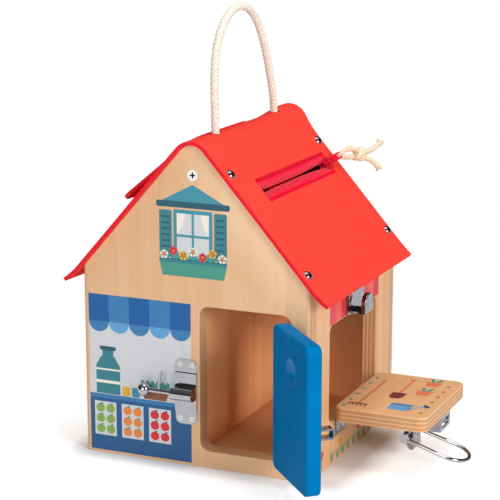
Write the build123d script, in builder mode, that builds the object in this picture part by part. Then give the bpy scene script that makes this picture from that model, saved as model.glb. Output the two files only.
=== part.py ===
from build123d import *
import os
from dataclasses import dataclass
from math import asin, atan2, cos, degrees, radians, sin, tan

# A wooden play house whose doors close with different fastenings. Millimetres, +Z up.
# The origin is the centre of the underside, the front faces -Y, and every door stands open.

# Carcass
HOUSE_WIDTH = 200.0
HOUSE_DEPTH = 198.0
EAVE_HEIGHT = 156.0
RIDGE_RISE = 114.0
RIDGE_RADIUS = 13.5
GABLE_THICK = 14.0
WALL_THICK = 12.0
FLOOR_THICK = 13.0
PARTITION_THICK = 9.0
PARTITION_HEIGHT = 137.0
CORNER_ROUND = 4.0
EDGE_EASE = 0.8
BEAM_WIDTH = 24.0
BEAM_HEIGHT = 28.0
BEAM_DROP = 31.0
BEAM_CHAMFER = 4.0
DOWEL_RADIUS = 3.0
DOWEL_LENGTH = 20.0
DOWEL_FROM_ENDS = 26.0

# Clearances
SCREW_GAP = 0.05
PIN_GAP = 0.05
KNUCKLE_GAP = 0.3
CLEAR = 0.4

# Doorway and front door
DOORWAY_LEFT = 5.0
DOORWAY_STILE = 16.0
DOORWAY_BOTTOM = 14.0
DOORWAY_HEIGHT = 120.0
DOORWAY_RADIUS = 8.0
DOOR_THICK = 12.4
DOOR_HINGE_SIDE_GAP = 0.8
DOOR_FREE_SIDE_GAP = 2.4
DOOR_END_GAP = 1.5
DOOR_ROUND = 2.0
DOOR_AXIS_ASIDE = 1.2
DOOR_OPEN_ANGLE = 132.5
DOOR_HINGE_HEIGHTS = (42.0, 106.0)
DIMPLE_RADIUS = 11.0
DIMPLE_DEPTH = 5.0
DIMPLE_HEIGHT = 104.5
DIMPLE_ALONG = 43.0

# Barrel bolt on the front and its keeper on the door
BOLT_HEIGHT = 62.0
BOLT_OUT = 8.0
BOLT_TRAVEL = 19.0
BOLT_ROD_RADIUS = 2.0
BOLT_BALL_RADIUS = 5.5
BOLT_BALL_X = -41.0
BOLT_TAIL_X = -27.5
BOLT_TAIL_RADIUS = 1.2
BOLT_TAIL_RISE = 16.0
BOLT_TAIL_LEAN = 2.5
BOLT_PLATE_RIGHT = 3.0
BOLT_PLATE_WIDTH = 19.0
BOLT_PLATE_HEIGHT = 54.0
BOLT_PLATE_THICK = 1.2
BOLT_PLATE_ROUND = 5.0
BOLT_PAD_HEIGHT = 32.0
BOLT_PAD_THICK = 2.6
BOLT_BARREL_RADIUS = 5.4
BOLT_SCREW_ASIDE = 5.2
BOLT_SCREW_UP = 22.5
KEEPER_FROM_EDGE = 11.0
KEEPER_PLATE_WIDTH = 12.0
KEEPER_PLATE_HEIGHT = 28.0
KEEPER_PLATE_THICK = 1.2
KEEPER_PLATE_ROUND = 3.0
KEEPER_STRAP_WIDTH = 8.0
KEEPER_STRAP_WALL = 1.6
KEEPER_STRAP_HEIGHT = 8.8
KEEPER_OUT = 13.0
KEEPER_ROUND = 2.4
KEEPER_SCREW_UP = 10.5

# Side opening and side flap
SIDE_OPENING_FROM_FRONT = 42.3
SIDE_OPENING_FROM_BACK = 45.7
SIDE_OPENING_BOTTOM = 36.6
SIDE_OPENING_LINTEL = 39.2
SIDE_OPENING_RADIUS = 6.0
FLAP_THICK = 12.0
FLAP_END_GAP = 1.8
FLAP_SIDE_GAP = 1.25
FLAP_ROUND = 8.0
FLAP_START = 1.0
FLAP_AXIS_DROP = 0.4
FLAP_HINGE_SPREAD = 62.0

# Toggle latch on the flap and its catch above the opening
LATCH_PIN_FROM_END = 28.5
LATCH_PIN_DROP = 7.9
LATCH_PIN_RADIUS = 1.5
LATCH_BASE_BEHIND_PIN = 7.0
LATCH_BASE_LENGTH = 35.0
LATCH_BASE_WIDTH = 30.0
LATCH_BASE_THICK = 1.2
LATCH_BASE_ROUND = 3.0
LATCH_LIP_WIDTH = 26.0
LATCH_LIP_DROP = 12.0
LATCH_LIP_SLOT = 17.0
LATCH_LIP_SLOT_TALL = 6.4
LATCH_LIP_SIDE = 9.5
LATCH_EAR_RADIUS = 4.0
LATCH_EAR_SPREAD = 15.6
LATCH_SHEET = 1.2
LATCH_CHEEK_SPREAD = 19.2
LEVER_LENGTH = 23.0
LEVER_PLATE_START = 6.0
LEVER_NARROWING = 3.0
BAIL_CRANK = 12.5
BAIL_OVER_CENTRE = 1.5
BAIL_WIRE_RADIUS = 1.6
BAIL_LEG_SPREAD = 30.0
BAIL_TIP_SPREAD = 34.6
BAIL_LENGTH = 52.0
BAIL_DROOP = 16.5
BAIL_EYE_BEND = 2.4
BAIL_CORNER = 16.4
BAIL_COLLAR_RADIUS = 4.0
BAIL_END_GAP = 0.3
CATCH_WIDTH = 39.0
CATCH_HEIGHT = 17.0
CATCH_ABOVE_OPENING = 0.6
CATCH_SHEET = 1.5
CATCH_ROUND = 3.0
HOOK_WIDTH = 19.0
HOOK_REACH = 13.5
HOOK_RISE = 16.0
HOOK_ROUND = 8.5
HOOK_NOSE_THICK = 4.0
HOOK_NOSE_EDGE = 1.0
CATCH_SCREW_SPREAD = 30.0
LATCH_SCREW_SPREAD = 22.0
LATCH_SCREW_AHEAD = 14.0

# Felt roof, its rivets and the flap on the left slope
FELT_THICK = 3.0
FELT_SEAT = 0.2
EAVE_OVERHANG = 18.5
FRONT_OVERHANG = 3.5
RIVET_HEAD_RADIUS = 4.4
RIVET_HEAD_RISE = 2.6
RIVET_SHANK_RADIUS = 1.5
RIVET_LENGTH = 15.0
RIVET_UP_SLOPE = (11.0, 110.0)
ROOF_FLAP_FROM_FRONT = 25.0
ROOF_FLAP_WIDTH = 107.0
ROOF_FLAP_LENGTH = 84.0
ROOF_FLAP_LIFT = 7.5
ROOF_FLAP_ROUND = 10.0
HEM_START_ANGLE = 4.0
HATCH_WIDTH = 80.0
HATCH_HEIGHT = 52.0
HATCH_UP_SLOPE = 92.0
HATCH_RADIUS = 6.0
FASTENER_WIDTH = 34.0
FASTENER_HEIGHT = 12.0
FASTENER_THICK = 1.0
FASTENER_FROM_END = 12.0

# Zip on the right slope
ZIP_FROM_FRONT = 35.0
ZIP_FROM_BACK = 15.0
ZIP_WIDTH = 19.0
ZIP_CORNER = 2.0
ZIP_UP_SLOPE = 88.0
ZIP_SLIT = 2.4
TAPE_WIDTH = 13.0
TAPE_THICK = 0.8
TAPE_MARGIN = 1.2
COIL_CORE = 1.4
COIL_TOOTH_REACH = 1.0
COIL_TOOTH_LONG = 1.2
COIL_PITCH = 2.4
COIL_RISE = 1.7
STOP_LONG = 3.0
STOP_RISE = 0.6
SLIDER_FROM_ZIP_END = 7.0
SLIDER_LENGTH = 11.0
SLIDER_WIDTH = 9.0
SLIDER_PLATE = 1.2
SLIDER_ROUND = 2.5
SLIDER_POST_WIDTH = 1.6
SLIDER_POST_LENGTH = 5.0
SLIDER_GAP = 0.3
BRIDGE_LENGTH = 7.6
BRIDGE_WIDTH = 2.0
BRIDGE_POST = 1.2
BRIDGE_OPENING = 2.0
BRIDGE_BAR = 0.9
PULL_BAR_ASIDE = 1.6
PULL_THICK = 1.0
PULL_BAR_RADIUS = 0.6
PULL_WIDTH = 6.4
PULL_RAIL = 1.4
PULL_WINDOW = 3.6
PULL_LENGTH = 16.0
PULL_HOLE_AT = 13.0
PULL_HOLE_RADIUS = 2.0
PULL_LIFT = 27.0

# Cotton cords. Their routes are lists of points in the house's own frame.
ROPE_DIAMETER = 6.8
ROPE_HOLE_GAP = 0.9
ROPE_KNOT_RADIUS = 9.0
ROPE_FRONT_Y = -55.8
ROPE_BACK_Y = 63.4
PULL_CORD_DIAMETER = 3.4
PULL_KNOT_RADIUS = 4.8
ARC_SHARE = 0.45

# What follows from the sizes above
HALF_WIDTH = HOUSE_WIDTH / 2
DOORWAY_RIGHT = HALF_WIDTH - DOORWAY_STILE
DOORWAY_WIDTH = DOORWAY_RIGHT - DOORWAY_LEFT
FRONT_Y = -HOUSE_DEPTH / 2
BACK_Y = HOUSE_DEPTH / 2
INNER_DEPTH = HOUSE_DEPTH - 2 * GABLE_THICK
INNER_X = HALF_WIDTH - WALL_THICK
PITCH = atan2(RIDGE_RISE, HALF_WIDTH)
RIDGE_CENTRE_Z = EAVE_HEIGHT + RIDGE_RISE - RIDGE_RADIUS / cos(PITCH)
SLOPE_LENGTH = HALF_WIDTH / cos(PITCH) - RIDGE_RADIUS * tan(PITCH)
BEAM_Z = EAVE_HEIGHT + RIDGE_RISE - BEAM_DROP
FELT_TOP = FELT_SEAT + FELT_THICK
BASE_SEAT = (Align.CENTER, Align.CENTER, Align.MIN)
TOP_SEAT = (Align.CENTER, Align.CENTER, Align.MAX)

FRONT_FACE = Plane(origin=(0, FRONT_Y, 0), x_dir=(1, 0, 0), z_dir=(0, -1, 0))
BACK_FACE = Plane(origin=(0, BACK_Y, 0), x_dir=(-1, 0, 0), z_dir=(0, 1, 0))
INNER_SECTION = Plane(origin=(0, -INNER_DEPTH / 2, 0), x_dir=(1, 0, 0), z_dir=(0, -1, 0))
RIGHT_FACE = Plane(origin=(HALF_WIDTH, 0, 0), x_dir=(0, 1, 0), z_dir=(1, 0, 0))
RIGHT_SLOPE = Plane(
    origin=(HALF_WIDTH, 0, EAVE_HEIGHT), x_dir=(0, 1, 0), z_dir=(sin(PITCH), 0, cos(PITCH))
)
LEFT_SLOPE = Plane(
    origin=(-HALF_WIDTH, 0, EAVE_HEIGHT), x_dir=(0, -1, 0), z_dir=(-sin(PITCH), 0, cos(PITCH))
)


@dataclass(frozen=True)
class Screw:
    """A countersunk cross-head screw."""

    head_radius: float
    shank_radius: float
    length: float
    recess: float

    @property
    def head_height(self):
        """The cone's height, for a head with sides at 45 degrees."""
        return self.head_radius - self.shank_radius


@dataclass(frozen=True)
class ButtHinge:
    """A surface hinge: the sizes that its two leaves and its pin share."""

    height: float
    leaf: float
    thick: float
    knuckle_radius: float
    pin_radius: float
    axis_out: float
    cap_radius: float
    cap_thick: float
    screw_spread: float
    screw_reach: float

    @property
    def clear_of_knuckle(self):
        """How far a plate stays from the axis beside the other leaf's knuckle."""
        return self.knuckle_radius + CLEAR

    @property
    def outer_bands(self):
        """The two end knuckles, as stretches along the pin."""
        third = self.height / 6 + KNUCKLE_GAP / 2
        return ((-self.height / 2, -third), (third, self.height / 2))

    @property
    def inner_bands(self):
        """The middle knuckle, as a stretch along the pin."""
        third = self.height / 6 - KNUCKLE_GAP / 2
        return ((-third, third),)

    def screw_spots(self, place):
        """The two screws of the leaf that lies at a place."""
        out = self.thick - self.axis_out
        rises = (-self.screw_spread / 2, self.screw_spread / 2)
        return [place.location * Pos(self.screw_reach, rise, out) for rise in rises]


RIDGE_SCREW = Screw(head_radius=4.4, shank_radius=2.0, length=28.0, recess=5.0)
HINGE_SCREW = Screw(head_radius=2.0, shank_radius=0.9, length=9.0, recess=2.2)
PLATE_SCREW = Screw(head_radius=2.2, shank_radius=1.1, length=9.0, recess=2.6)
DOOR_HINGE = ButtHinge(
    height=22.0,
    leaf=11.5,
    thick=1.2,
    knuckle_radius=2.8,
    pin_radius=1.3,
    axis_out=3.4,
    cap_radius=2.2,
    cap_thick=0.8,
    screw_spread=13.0,
    screw_reach=7.4,
)
FLAP_HINGE = ButtHinge(
    height=22.0,
    leaf=14.0,
    thick=1.1,
    knuckle_radius=1.9,
    pin_radius=0.9,
    axis_out=2.2,
    cap_radius=1.5,
    cap_thick=0.6,
    screw_spread=13.0,
    screw_reach=8.5,
)


def drive_screws(spots, screw):
    """Adds countersunk screws, head up at each spot, to the piece being built."""
    slot = screw.recess / 4
    with Locations(*spots):
        Cone(screw.shank_radius, screw.head_radius, screw.head_height, align=TOP_SEAT)
        Cylinder(screw.shank_radius, screw.length, align=TOP_SEAT)
        Box(screw.recess, slot, screw.head_height / 2, align=TOP_SEAT, mode=Mode.SUBTRACT)
        Box(slot, screw.recess, screw.head_height / 2, align=TOP_SEAT, mode=Mode.SUBTRACT)


def sink_screws(spots, screw):
    """Cuts the seats of countersunk screws out of the piece being built."""
    shank = screw.shank_radius + SCREW_GAP
    head = screw.head_radius + SCREW_GAP
    with Locations(*spots):
        Cone(shank, head, screw.head_height, align=TOP_SEAT, mode=Mode.SUBTRACT)
        Cylinder(shank, screw.length + CLEAR, align=TOP_SEAT, mode=Mode.SUBTRACT)


def across(place, along):
    """The plane square to a hinge's pin, at a distance along it."""
    return Plane(origin=place.from_local_coords((0, along, 0)), z_dir=place.y_dir)


def hinge_leaves(places, hinge, bands):
    """Makes one leaf at each place, with its knuckles in the given stretches of the pin."""
    with BuildPart() as leaves:
        for place in places:
            with BuildSketch(place.offset(-hinge.axis_out)):
                with Locations((hinge.clear_of_knuckle, 0)):
                    plate = hinge.leaf - hinge.clear_of_knuckle
                    Rectangle(plate, hinge.height, align=(Align.MIN, Align.CENTER))
                for low, high in bands:
                    with Locations((0, low)):
                        Rectangle(hinge.leaf / 2, high - low, align=Align.MIN)
            extrude(amount=hinge.thick)
            for low, high in bands:
                with BuildSketch(across(place, low)):
                    Circle(hinge.knuckle_radius)
                extrude(amount=high - low)
            with BuildSketch(across(place, -hinge.height / 2)):
                Circle(hinge.pin_radius + PIN_GAP)
            extrude(amount=hinge.height, mode=Mode.SUBTRACT)
            sink_screws(hinge.screw_spots(place), HINGE_SCREW)
    return leaves


def hinge_pins(places, hinge):
    """Makes the pin of each hinge, with a flat cap at both ends."""
    with BuildPart() as pins:
        for place in places:
            with BuildSketch(across(place, -hinge.height / 2)):
                Circle(hinge.pin_radius)
            extrude(amount=hinge.height)
            with BuildSketch(across(place, hinge.height / 2)):
                Circle(hinge.cap_radius)
            extrude(amount=hinge.cap_thick)
            with BuildSketch(across(place, -hinge.height / 2)):
                Circle(hinge.cap_radius)
            extrude(amount=-hinge.cap_thick)
    return pins


def slope_point(side, up, out):
    """A point of the roof's section: up a slope from the eave, and out from the wood."""
    x = HALF_WIDTH - up * cos(PITCH) + out * sin(PITCH)
    return (side * x, EAVE_HEIGHT + up * sin(PITCH) + out * cos(PITCH))


def ridge_point(angle, out):
    """A point of the rounded ridge: an angle left of the top, and out from the wood."""
    reach = RIDGE_RADIUS + out
    return (-reach * sin(angle), RIDGE_CENTRE_Z + reach * cos(angle))


def cord_radii(points):
    """The largest arcs that a cord's runs leave room for, one for each inner point."""
    vectors = [Vector(*point) for point in points]
    runs = [b - a for a, b in zip(vectors, vectors[1:])]
    radii = []
    for before, after in zip(runs, runs[1:]):
        half_turn = radians(before.get_angle(after)) / 2
        radii.append(ARC_SHARE * min(before.length, after.length) / tan(half_turn))
    return radii


def cord_tube(name, points, diameter):
    """Makes a cord's tube along straight runs and arcs, and prints its bends and volume."""
    radii = cord_radii(points)
    with BuildPart() as tube:
        with BuildLine() as route:
            FilletPolyline(*points, radius=radii)
        with BuildSketch(Plane(origin=route.wire() @ 0, z_dir=route.wire() % 0)) as section:
            Circle(diameter / 2)
        sweep(path=route.wire())
    length = route.wire().length
    share = tube.part.volume / (section.sketch.area * length)
    print(name, "length", round(length, 1), "volume share", round(share, 4))
    print(name, "radii in diameters", [round(radius / diameter, 1) for radius in radii])
    return tube


# Gables
def gable_outline():
    """The gable's outline: two walls, two slopes and a rounded top."""
    with BuildSketch() as outline:
        with BuildLine():
            Polyline(
                (-HALF_WIDTH, 0),
                (HALF_WIDTH, 0),
                (HALF_WIDTH, EAVE_HEIGHT),
                (0, EAVE_HEIGHT + RIDGE_RISE),
                (-HALF_WIDTH, EAVE_HEIGHT),
                close=True,
            )
        make_face()
        fillet(outline.vertices().sort_by(Axis.Y)[-1], RIDGE_RADIUS)
    return outline.sketch


DOORWAY_MIDDLE = (DOORWAY_LEFT + DOORWAY_WIDTH / 2, DOORWAY_BOTTOM + DOORWAY_HEIGHT / 2)
FRONT_RIDGE_SPOT = [FRONT_FACE.location * Pos(0, BEAM_Z, 0)]
BACK_RIDGE_SPOT = [BACK_FACE.location * Pos(0, BEAM_Z, 0)]
WALL_MIDDLE_X = HALF_WIDTH - WALL_THICK / 2
DOWEL_HEIGHTS = (DOWEL_FROM_ENDS, EAVE_HEIGHT - DOWEL_FROM_ENDS)
DOWEL_PLACES = [(side * WALL_MIDDLE_X, height) for side in (-1, 1) for height in DOWEL_HEIGHTS]
FRONT_JOINT = FRONT_FACE.offset(-GABLE_THICK)
BACK_JOINT = BACK_FACE.offset(-GABLE_THICK)
DOWEL_SPOTS = [joint.location * Pos(x, z, 0) for joint in (FRONT_JOINT, BACK_JOINT) for x, z in DOWEL_PLACES]
RIVET_YS = (FRONT_Y + GABLE_THICK / 2, BACK_Y - GABLE_THICK / 2)
RIVET_SPOTS = [
    slope.offset(FELT_TOP).location * Pos(y, up, 0)
    for slope in (RIGHT_SLOPE, LEFT_SLOPE)
    for y in RIVET_YS
    for up in RIVET_UP_SLOPE
]


def bore_joints():
    """Cuts the dowel holes and the rivet holes out of the piece being built."""
    with Locations(*DOWEL_SPOTS):
        Cylinder(DOWEL_RADIUS + SCREW_GAP, DOWEL_LENGTH + CLEAR, mode=Mode.SUBTRACT)
    with Locations(*RIVET_SPOTS):
        bore = RIVET_SHANK_RADIUS + SCREW_GAP
        Cylinder(bore, RIVET_LENGTH + CLEAR, align=TOP_SEAT, mode=Mode.SUBTRACT)


# Front door hinges and hardware places
DOOR_AXIS_X = DOORWAY_RIGHT + DOOR_AXIS_ASIDE
DOOR_AXIS_Y = FRONT_Y - DOOR_HINGE.axis_out
DOOR_TURN = radians(DOOR_OPEN_ANGLE)
DOOR_ALONG = (-cos(DOOR_TURN), -sin(DOOR_TURN), 0)
DOOR_OUTWARD = (sin(DOOR_TURN), -cos(DOOR_TURN), 0)
DOOR_INWARD = (-sin(DOOR_TURN), cos(DOOR_TURN), 0)
DOOR_START = DOOR_AXIS_ASIDE + DOOR_HINGE_SIDE_GAP
DOOR_WIDTH = DOORWAY_WIDTH - DOOR_HINGE_SIDE_GAP - DOOR_FREE_SIDE_GAP
DOOR_HEIGHT = DOORWAY_HEIGHT - 2 * DOOR_END_GAP
DOOR_FRAME_PLACES = [
    Plane(origin=(DOOR_AXIS_X, DOOR_AXIS_Y, z), x_dir=(1, 0, 0), z_dir=(0, -1, 0))
    for z in DOOR_HINGE_HEIGHTS
]
DOOR_LEAF_PLACES = [
    Plane(origin=(DOOR_AXIS_X, DOOR_AXIS_Y, z), x_dir=DOOR_ALONG, z_dir=DOOR_OUTWARD)
    for z in DOOR_HINGE_HEIGHTS
]
DOOR_SECTION = Plane(origin=(DOOR_AXIS_X, DOOR_AXIS_Y, 0), x_dir=DOOR_ALONG, z_dir=DOOR_INWARD)
FRAME_SCREW_SPOTS = [s for place in DOOR_FRAME_PLACES for s in DOOR_HINGE.screw_spots(place)]
DOOR_SCREW_SPOTS = [s for place in DOOR_LEAF_PLACES for s in DOOR_HINGE.screw_spots(place)]
BOLT_X = BOLT_PLATE_RIGHT - BOLT_PLATE_WIDTH / 2
BOLT_LEFT = BOLT_PLATE_RIGHT - BOLT_PLATE_WIDTH
BOLT_SCREW_SPOTS = [
    FRONT_FACE.location * Pos(BOLT_X + aside, BOLT_HEIGHT + up, BOLT_PLATE_THICK)
    for aside in (-BOLT_SCREW_ASIDE, BOLT_SCREW_ASIDE)
    for up in (-BOLT_SCREW_UP, BOLT_SCREW_UP)
]

with BuildPart() as front_panel:
    with BuildSketch(FRONT_FACE):
        add(gable_outline())
    extrude(amount=-GABLE_THICK)
    fillet(front_panel.edges().filter_by(Axis.Z).group_by(Axis.Y)[0], CORNER_ROUND)
    with BuildSketch(FRONT_FACE):
        with Locations(DOORWAY_MIDDLE):
            RectangleRounded(DOORWAY_WIDTH, DOORWAY_HEIGHT, DOORWAY_RADIUS)
    extrude(amount=-GABLE_THICK, mode=Mode.SUBTRACT)
    fillet(front_panel.faces().sort_by(Axis.Y)[0].inner_wires()[0].edges(), EDGE_EASE)
    sink_screws(FRONT_RIDGE_SPOT, RIDGE_SCREW)
    sink_screws(FRAME_SCREW_SPOTS, HINGE_SCREW)
    sink_screws(BOLT_SCREW_SPOTS, PLATE_SCREW)
    bore_joints()

with BuildPart() as back_panel:
    with BuildSketch(BACK_FACE):
        add(gable_outline())
    extrude(amount=-GABLE_THICK)
    fillet(back_panel.edges().filter_by(Axis.Z).group_by(Axis.Y)[-1], CORNER_ROUND)
    sink_screws(BACK_RIDGE_SPOT, RIDGE_SCREW)
    bore_joints()

# Side walls, with their tops cut to the slope
SIDE_OPENING_WIDTH = HOUSE_DEPTH - SIDE_OPENING_FROM_FRONT - SIDE_OPENING_FROM_BACK
SIDE_OPENING_Y = FRONT_Y + SIDE_OPENING_FROM_FRONT + SIDE_OPENING_WIDTH / 2
SIDE_OPENING_TOP = EAVE_HEIGHT - SIDE_OPENING_LINTEL
SIDE_OPENING_HEIGHT = SIDE_OPENING_TOP - SIDE_OPENING_BOTTOM
FLAP_AXIS_X = HALF_WIDTH + FLAP_HINGE.axis_out
FLAP_AXIS_Z = SIDE_OPENING_BOTTOM - FLAP_AXIS_DROP
FLAP_HINGE_YS = (SIDE_OPENING_Y - FLAP_HINGE_SPREAD / 2, SIDE_OPENING_Y + FLAP_HINGE_SPREAD / 2)
FLAP_WALL_PLACES = [
    Plane(origin=(FLAP_AXIS_X, y, FLAP_AXIS_Z), x_dir=(0, 0, -1), z_dir=(1, 0, 0))
    for y in FLAP_HINGE_YS
]
FLAP_LEAF_PLACES = [
    Plane(origin=(FLAP_AXIS_X, y, FLAP_AXIS_Z), x_dir=(1, 0, 0), z_dir=(0, 0, -1))
    for y in FLAP_HINGE_YS
]
WALL_SCREW_SPOTS = [s for place in FLAP_WALL_PLACES for s in FLAP_HINGE.screw_spots(place)]
FLAP_SCREW_SPOTS = [s for place in FLAP_LEAF_PLACES for s in FLAP_HINGE.screw_spots(place)]
CATCH_BOTTOM = SIDE_OPENING_TOP + CATCH_ABOVE_OPENING
CATCH_SCREW_SPOTS = [
    RIGHT_FACE.location * Pos(SIDE_OPENING_Y + aside, CATCH_BOTTOM + CATCH_HEIGHT / 2, CATCH_SHEET)
    for aside in (-CATCH_SCREW_SPREAD / 2, CATCH_SCREW_SPREAD / 2)
]


def wall_outline(side):
    """A side wall's section: upright faces under the slope of the roof."""
    with BuildSketch() as outline:
        with BuildLine():
            Polyline(
                (side * INNER_X, 0),
                (side * HALF_WIDTH, 0),
                (side * HALF_WIDTH, EAVE_HEIGHT),
                (side * INNER_X, EAVE_HEIGHT + WALL_THICK * tan(PITCH)),
                close=True,
            )
        make_face()
    return outline.sketch


with BuildPart() as right_wall:
    with BuildSketch(INNER_SECTION):
        add(wall_outline(1))
    extrude(amount=-INNER_DEPTH)
    with BuildSketch(RIGHT_FACE):
        with Locations((SIDE_OPENING_Y, SIDE_OPENING_BOTTOM + SIDE_OPENING_HEIGHT / 2)):
            RectangleRounded(SIDE_OPENING_WIDTH, SIDE_OPENING_HEIGHT, SIDE_OPENING_RADIUS)
    extrude(amount=-WALL_THICK, mode=Mode.SUBTRACT)
    fillet(right_wall.faces().sort_by(Axis.X)[-1].inner_wires()[0].edges(), EDGE_EASE)
    sink_screws(WALL_SCREW_SPOTS, HINGE_SCREW)
    sink_screws(CATCH_SCREW_SPOTS, PLATE_SCREW)
    bore_joints()

with BuildPart() as left_wall:
    with BuildSketch(INNER_SECTION):
        add(wall_outline(-1))
    extrude(amount=-INNER_DEPTH)
    bore_joints()

with BuildPart() as floor_panel:
    Box(2 * INNER_X, INNER_DEPTH, FLOOR_THICK, align=BASE_SEAT)

with BuildPart() as centre_partition:
    with Locations((0, 0, FLOOR_THICK)):
        Box(PARTITION_THICK, INNER_DEPTH, PARTITION_HEIGHT, align=BASE_SEAT)

with BuildPart() as panel_dowels:
    with Locations(*DOWEL_SPOTS):
        Cylinder(DOWEL_RADIUS, DOWEL_LENGTH)

with BuildPart() as ridge_beam:
    with Locations((0, 0, BEAM_Z)):
        Box(BEAM_WIDTH, INNER_DEPTH, BEAM_HEIGHT)
    chamfer(ridge_beam.edges().filter_by(Axis.Y).group_by(Axis.Z)[-1], BEAM_CHAMFER)
    with Locations((0, ROPE_FRONT_Y, BEAM_Z), (0, ROPE_BACK_Y, BEAM_Z)):
        Cylinder(ROPE_DIAMETER / 2 + ROPE_HOLE_GAP, BEAM_HEIGHT, mode=Mode.SUBTRACT)
    sink_screws(FRONT_RIDGE_SPOT + BACK_RIDGE_SPOT, RIDGE_SCREW)

with BuildPart() as ridge_screws:
    drive_screws(FRONT_RIDGE_SPOT + BACK_RIDGE_SPOT, RIDGE_SCREW)

# Front door
DOOR_MIDDLE_Z = DOORWAY_BOTTOM + DOORWAY_HEIGHT / 2
DIMPLE_SPHERE = (DIMPLE_RADIUS**2 + DIMPLE_DEPTH**2) / (2 * DIMPLE_DEPTH)
KEEPER_ALONG = DOOR_START + DOOR_WIDTH - KEEPER_FROM_EDGE
KEEPER_PLACE = Plane(
    origin=DOOR_SECTION.from_local_coords((KEEPER_ALONG, BOLT_HEIGHT, DOOR_HINGE.axis_out)),
    x_dir=(0, 0, 1),
    z_dir=DOOR_OUTWARD,
)
KEEPER_SCREW_SPOTS = [
    KEEPER_PLACE.location * Pos(up, 0, KEEPER_PLATE_THICK) for up in (-KEEPER_SCREW_UP, KEEPER_SCREW_UP)
]

with BuildPart() as front_door:
    with BuildSketch(DOOR_SECTION.offset(DOOR_HINGE.axis_out)):
        with Locations((DOOR_START + DOOR_WIDTH / 2, DOOR_MIDDLE_Z)):
            RectangleRounded(DOOR_WIDTH, DOOR_HEIGHT, DOORWAY_RADIUS - DOOR_END_GAP)
    extrude(amount=DOOR_THICK)
    fillet(front_door.faces().filter_by(DOOR_SECTION).edges(), DOOR_ROUND)
    dimple_out = DOOR_HINGE.axis_out + DOOR_THICK + DIMPLE_SPHERE - DIMPLE_DEPTH
    with Locations(DOOR_SECTION.location * Pos(DIMPLE_ALONG, DIMPLE_HEIGHT, dimple_out)):
        Sphere(DIMPLE_SPHERE, mode=Mode.SUBTRACT)
    sink_screws(DOOR_SCREW_SPOTS, HINGE_SCREW)
    sink_screws(KEEPER_SCREW_SPOTS, PLATE_SCREW)

door_hinge_frame_leaves = hinge_leaves(DOOR_FRAME_PLACES, DOOR_HINGE, DOOR_HINGE.outer_bands)
door_hinge_door_leaves = hinge_leaves(DOOR_LEAF_PLACES, DOOR_HINGE, DOOR_HINGE.inner_bands)
door_hinge_pins = hinge_pins(DOOR_FRAME_PLACES, DOOR_HINGE)

with BuildPart() as door_hinge_frame_screws:
    drive_screws(FRAME_SCREW_SPOTS, HINGE_SCREW)

with BuildPart() as door_hinge_door_screws:
    drive_screws(DOOR_SCREW_SPOTS, HINGE_SCREW)

with BuildPart() as bolt_keeper:
    with BuildSketch(KEEPER_PLACE):
        RectangleRounded(KEEPER_PLATE_HEIGHT, KEEPER_PLATE_WIDTH, KEEPER_PLATE_ROUND)
    extrude(amount=KEEPER_PLATE_THICK)
    strap_section = Plane(origin=KEEPER_PLACE.origin, x_dir=DOOR_OUTWARD, z_dir=DOOR_ALONG)
    with BuildSketch(strap_section):
        with Locations((KEEPER_OUT / 2, 0)):
            RectangleRounded(KEEPER_OUT, KEEPER_STRAP_HEIGHT, KEEPER_ROUND)
            hollow = 2 * KEEPER_STRAP_WALL
            RectangleRounded(
                KEEPER_OUT - hollow,
                KEEPER_STRAP_HEIGHT - hollow,
                KEEPER_ROUND - KEEPER_STRAP_WALL,
                mode=Mode.SUBTRACT,
            )
    extrude(amount=KEEPER_STRAP_WIDTH / 2, both=True)
    sink_screws(KEEPER_SCREW_SPOTS, PLATE_SCREW)

with BuildPart() as keeper_screws:
    drive_screws(KEEPER_SCREW_SPOTS, PLATE_SCREW)

# Barrel bolt, drawn back in this pose
BOLT_AXIS_Y = FRONT_Y - BOLT_OUT
BOLT_SECTION = Plane(origin=(BOLT_LEFT, FRONT_Y, BOLT_HEIGHT), x_dir=(0, -1, 0), z_dir=(1, 0, 0))
BOLT_SLOT = BOLT_TRAVEL - (BOLT_LEFT - BOLT_TAIL_X) + BOLT_TAIL_RADIUS + CLEAR

with BuildPart() as bolt_plate:
    with BuildSketch(FRONT_FACE):
        with Locations((BOLT_X, BOLT_HEIGHT)):
            RectangleRounded(BOLT_PLATE_WIDTH, BOLT_PLATE_HEIGHT, BOLT_PLATE_ROUND)
    extrude(amount=BOLT_PLATE_THICK)
    with BuildSketch(FRONT_FACE):
        with Locations((BOLT_X, BOLT_HEIGHT)):
            Rectangle(BOLT_PLATE_WIDTH, BOLT_PAD_HEIGHT)
    extrude(amount=BOLT_PAD_THICK)
    with BuildSketch(BOLT_SECTION):
        Rectangle(BOLT_OUT, 2 * BOLT_BARREL_RADIUS, align=(Align.MIN, Align.CENTER))
        with Locations((BOLT_OUT, 0)):
            Circle(BOLT_BARREL_RADIUS)
    extrude(amount=BOLT_PLATE_WIDTH)
    with BuildSketch(BOLT_SECTION):
        with Locations((BOLT_OUT, 0)):
            Circle(BOLT_ROD_RADIUS + PIN_GAP)
    extrude(amount=BOLT_PLATE_WIDTH, mode=Mode.SUBTRACT)
    with Locations((BOLT_LEFT, BOLT_AXIS_Y, BOLT_HEIGHT)):
        slot_width = 2 * (BOLT_TAIL_RADIUS + CLEAR)
        slot_rise = BOLT_BARREL_RADIUS + CLEAR
        slot_seat = (Align.MIN, Align.CENTER, Align.MIN)
        Box(BOLT_SLOT, slot_width, slot_rise, align=slot_seat, mode=Mode.SUBTRACT)
    sink_screws(BOLT_SCREW_SPOTS, PLATE_SCREW)

with BuildPart() as bolt_plate_screws:
    drive_screws(BOLT_SCREW_SPOTS, PLATE_SCREW)

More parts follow.
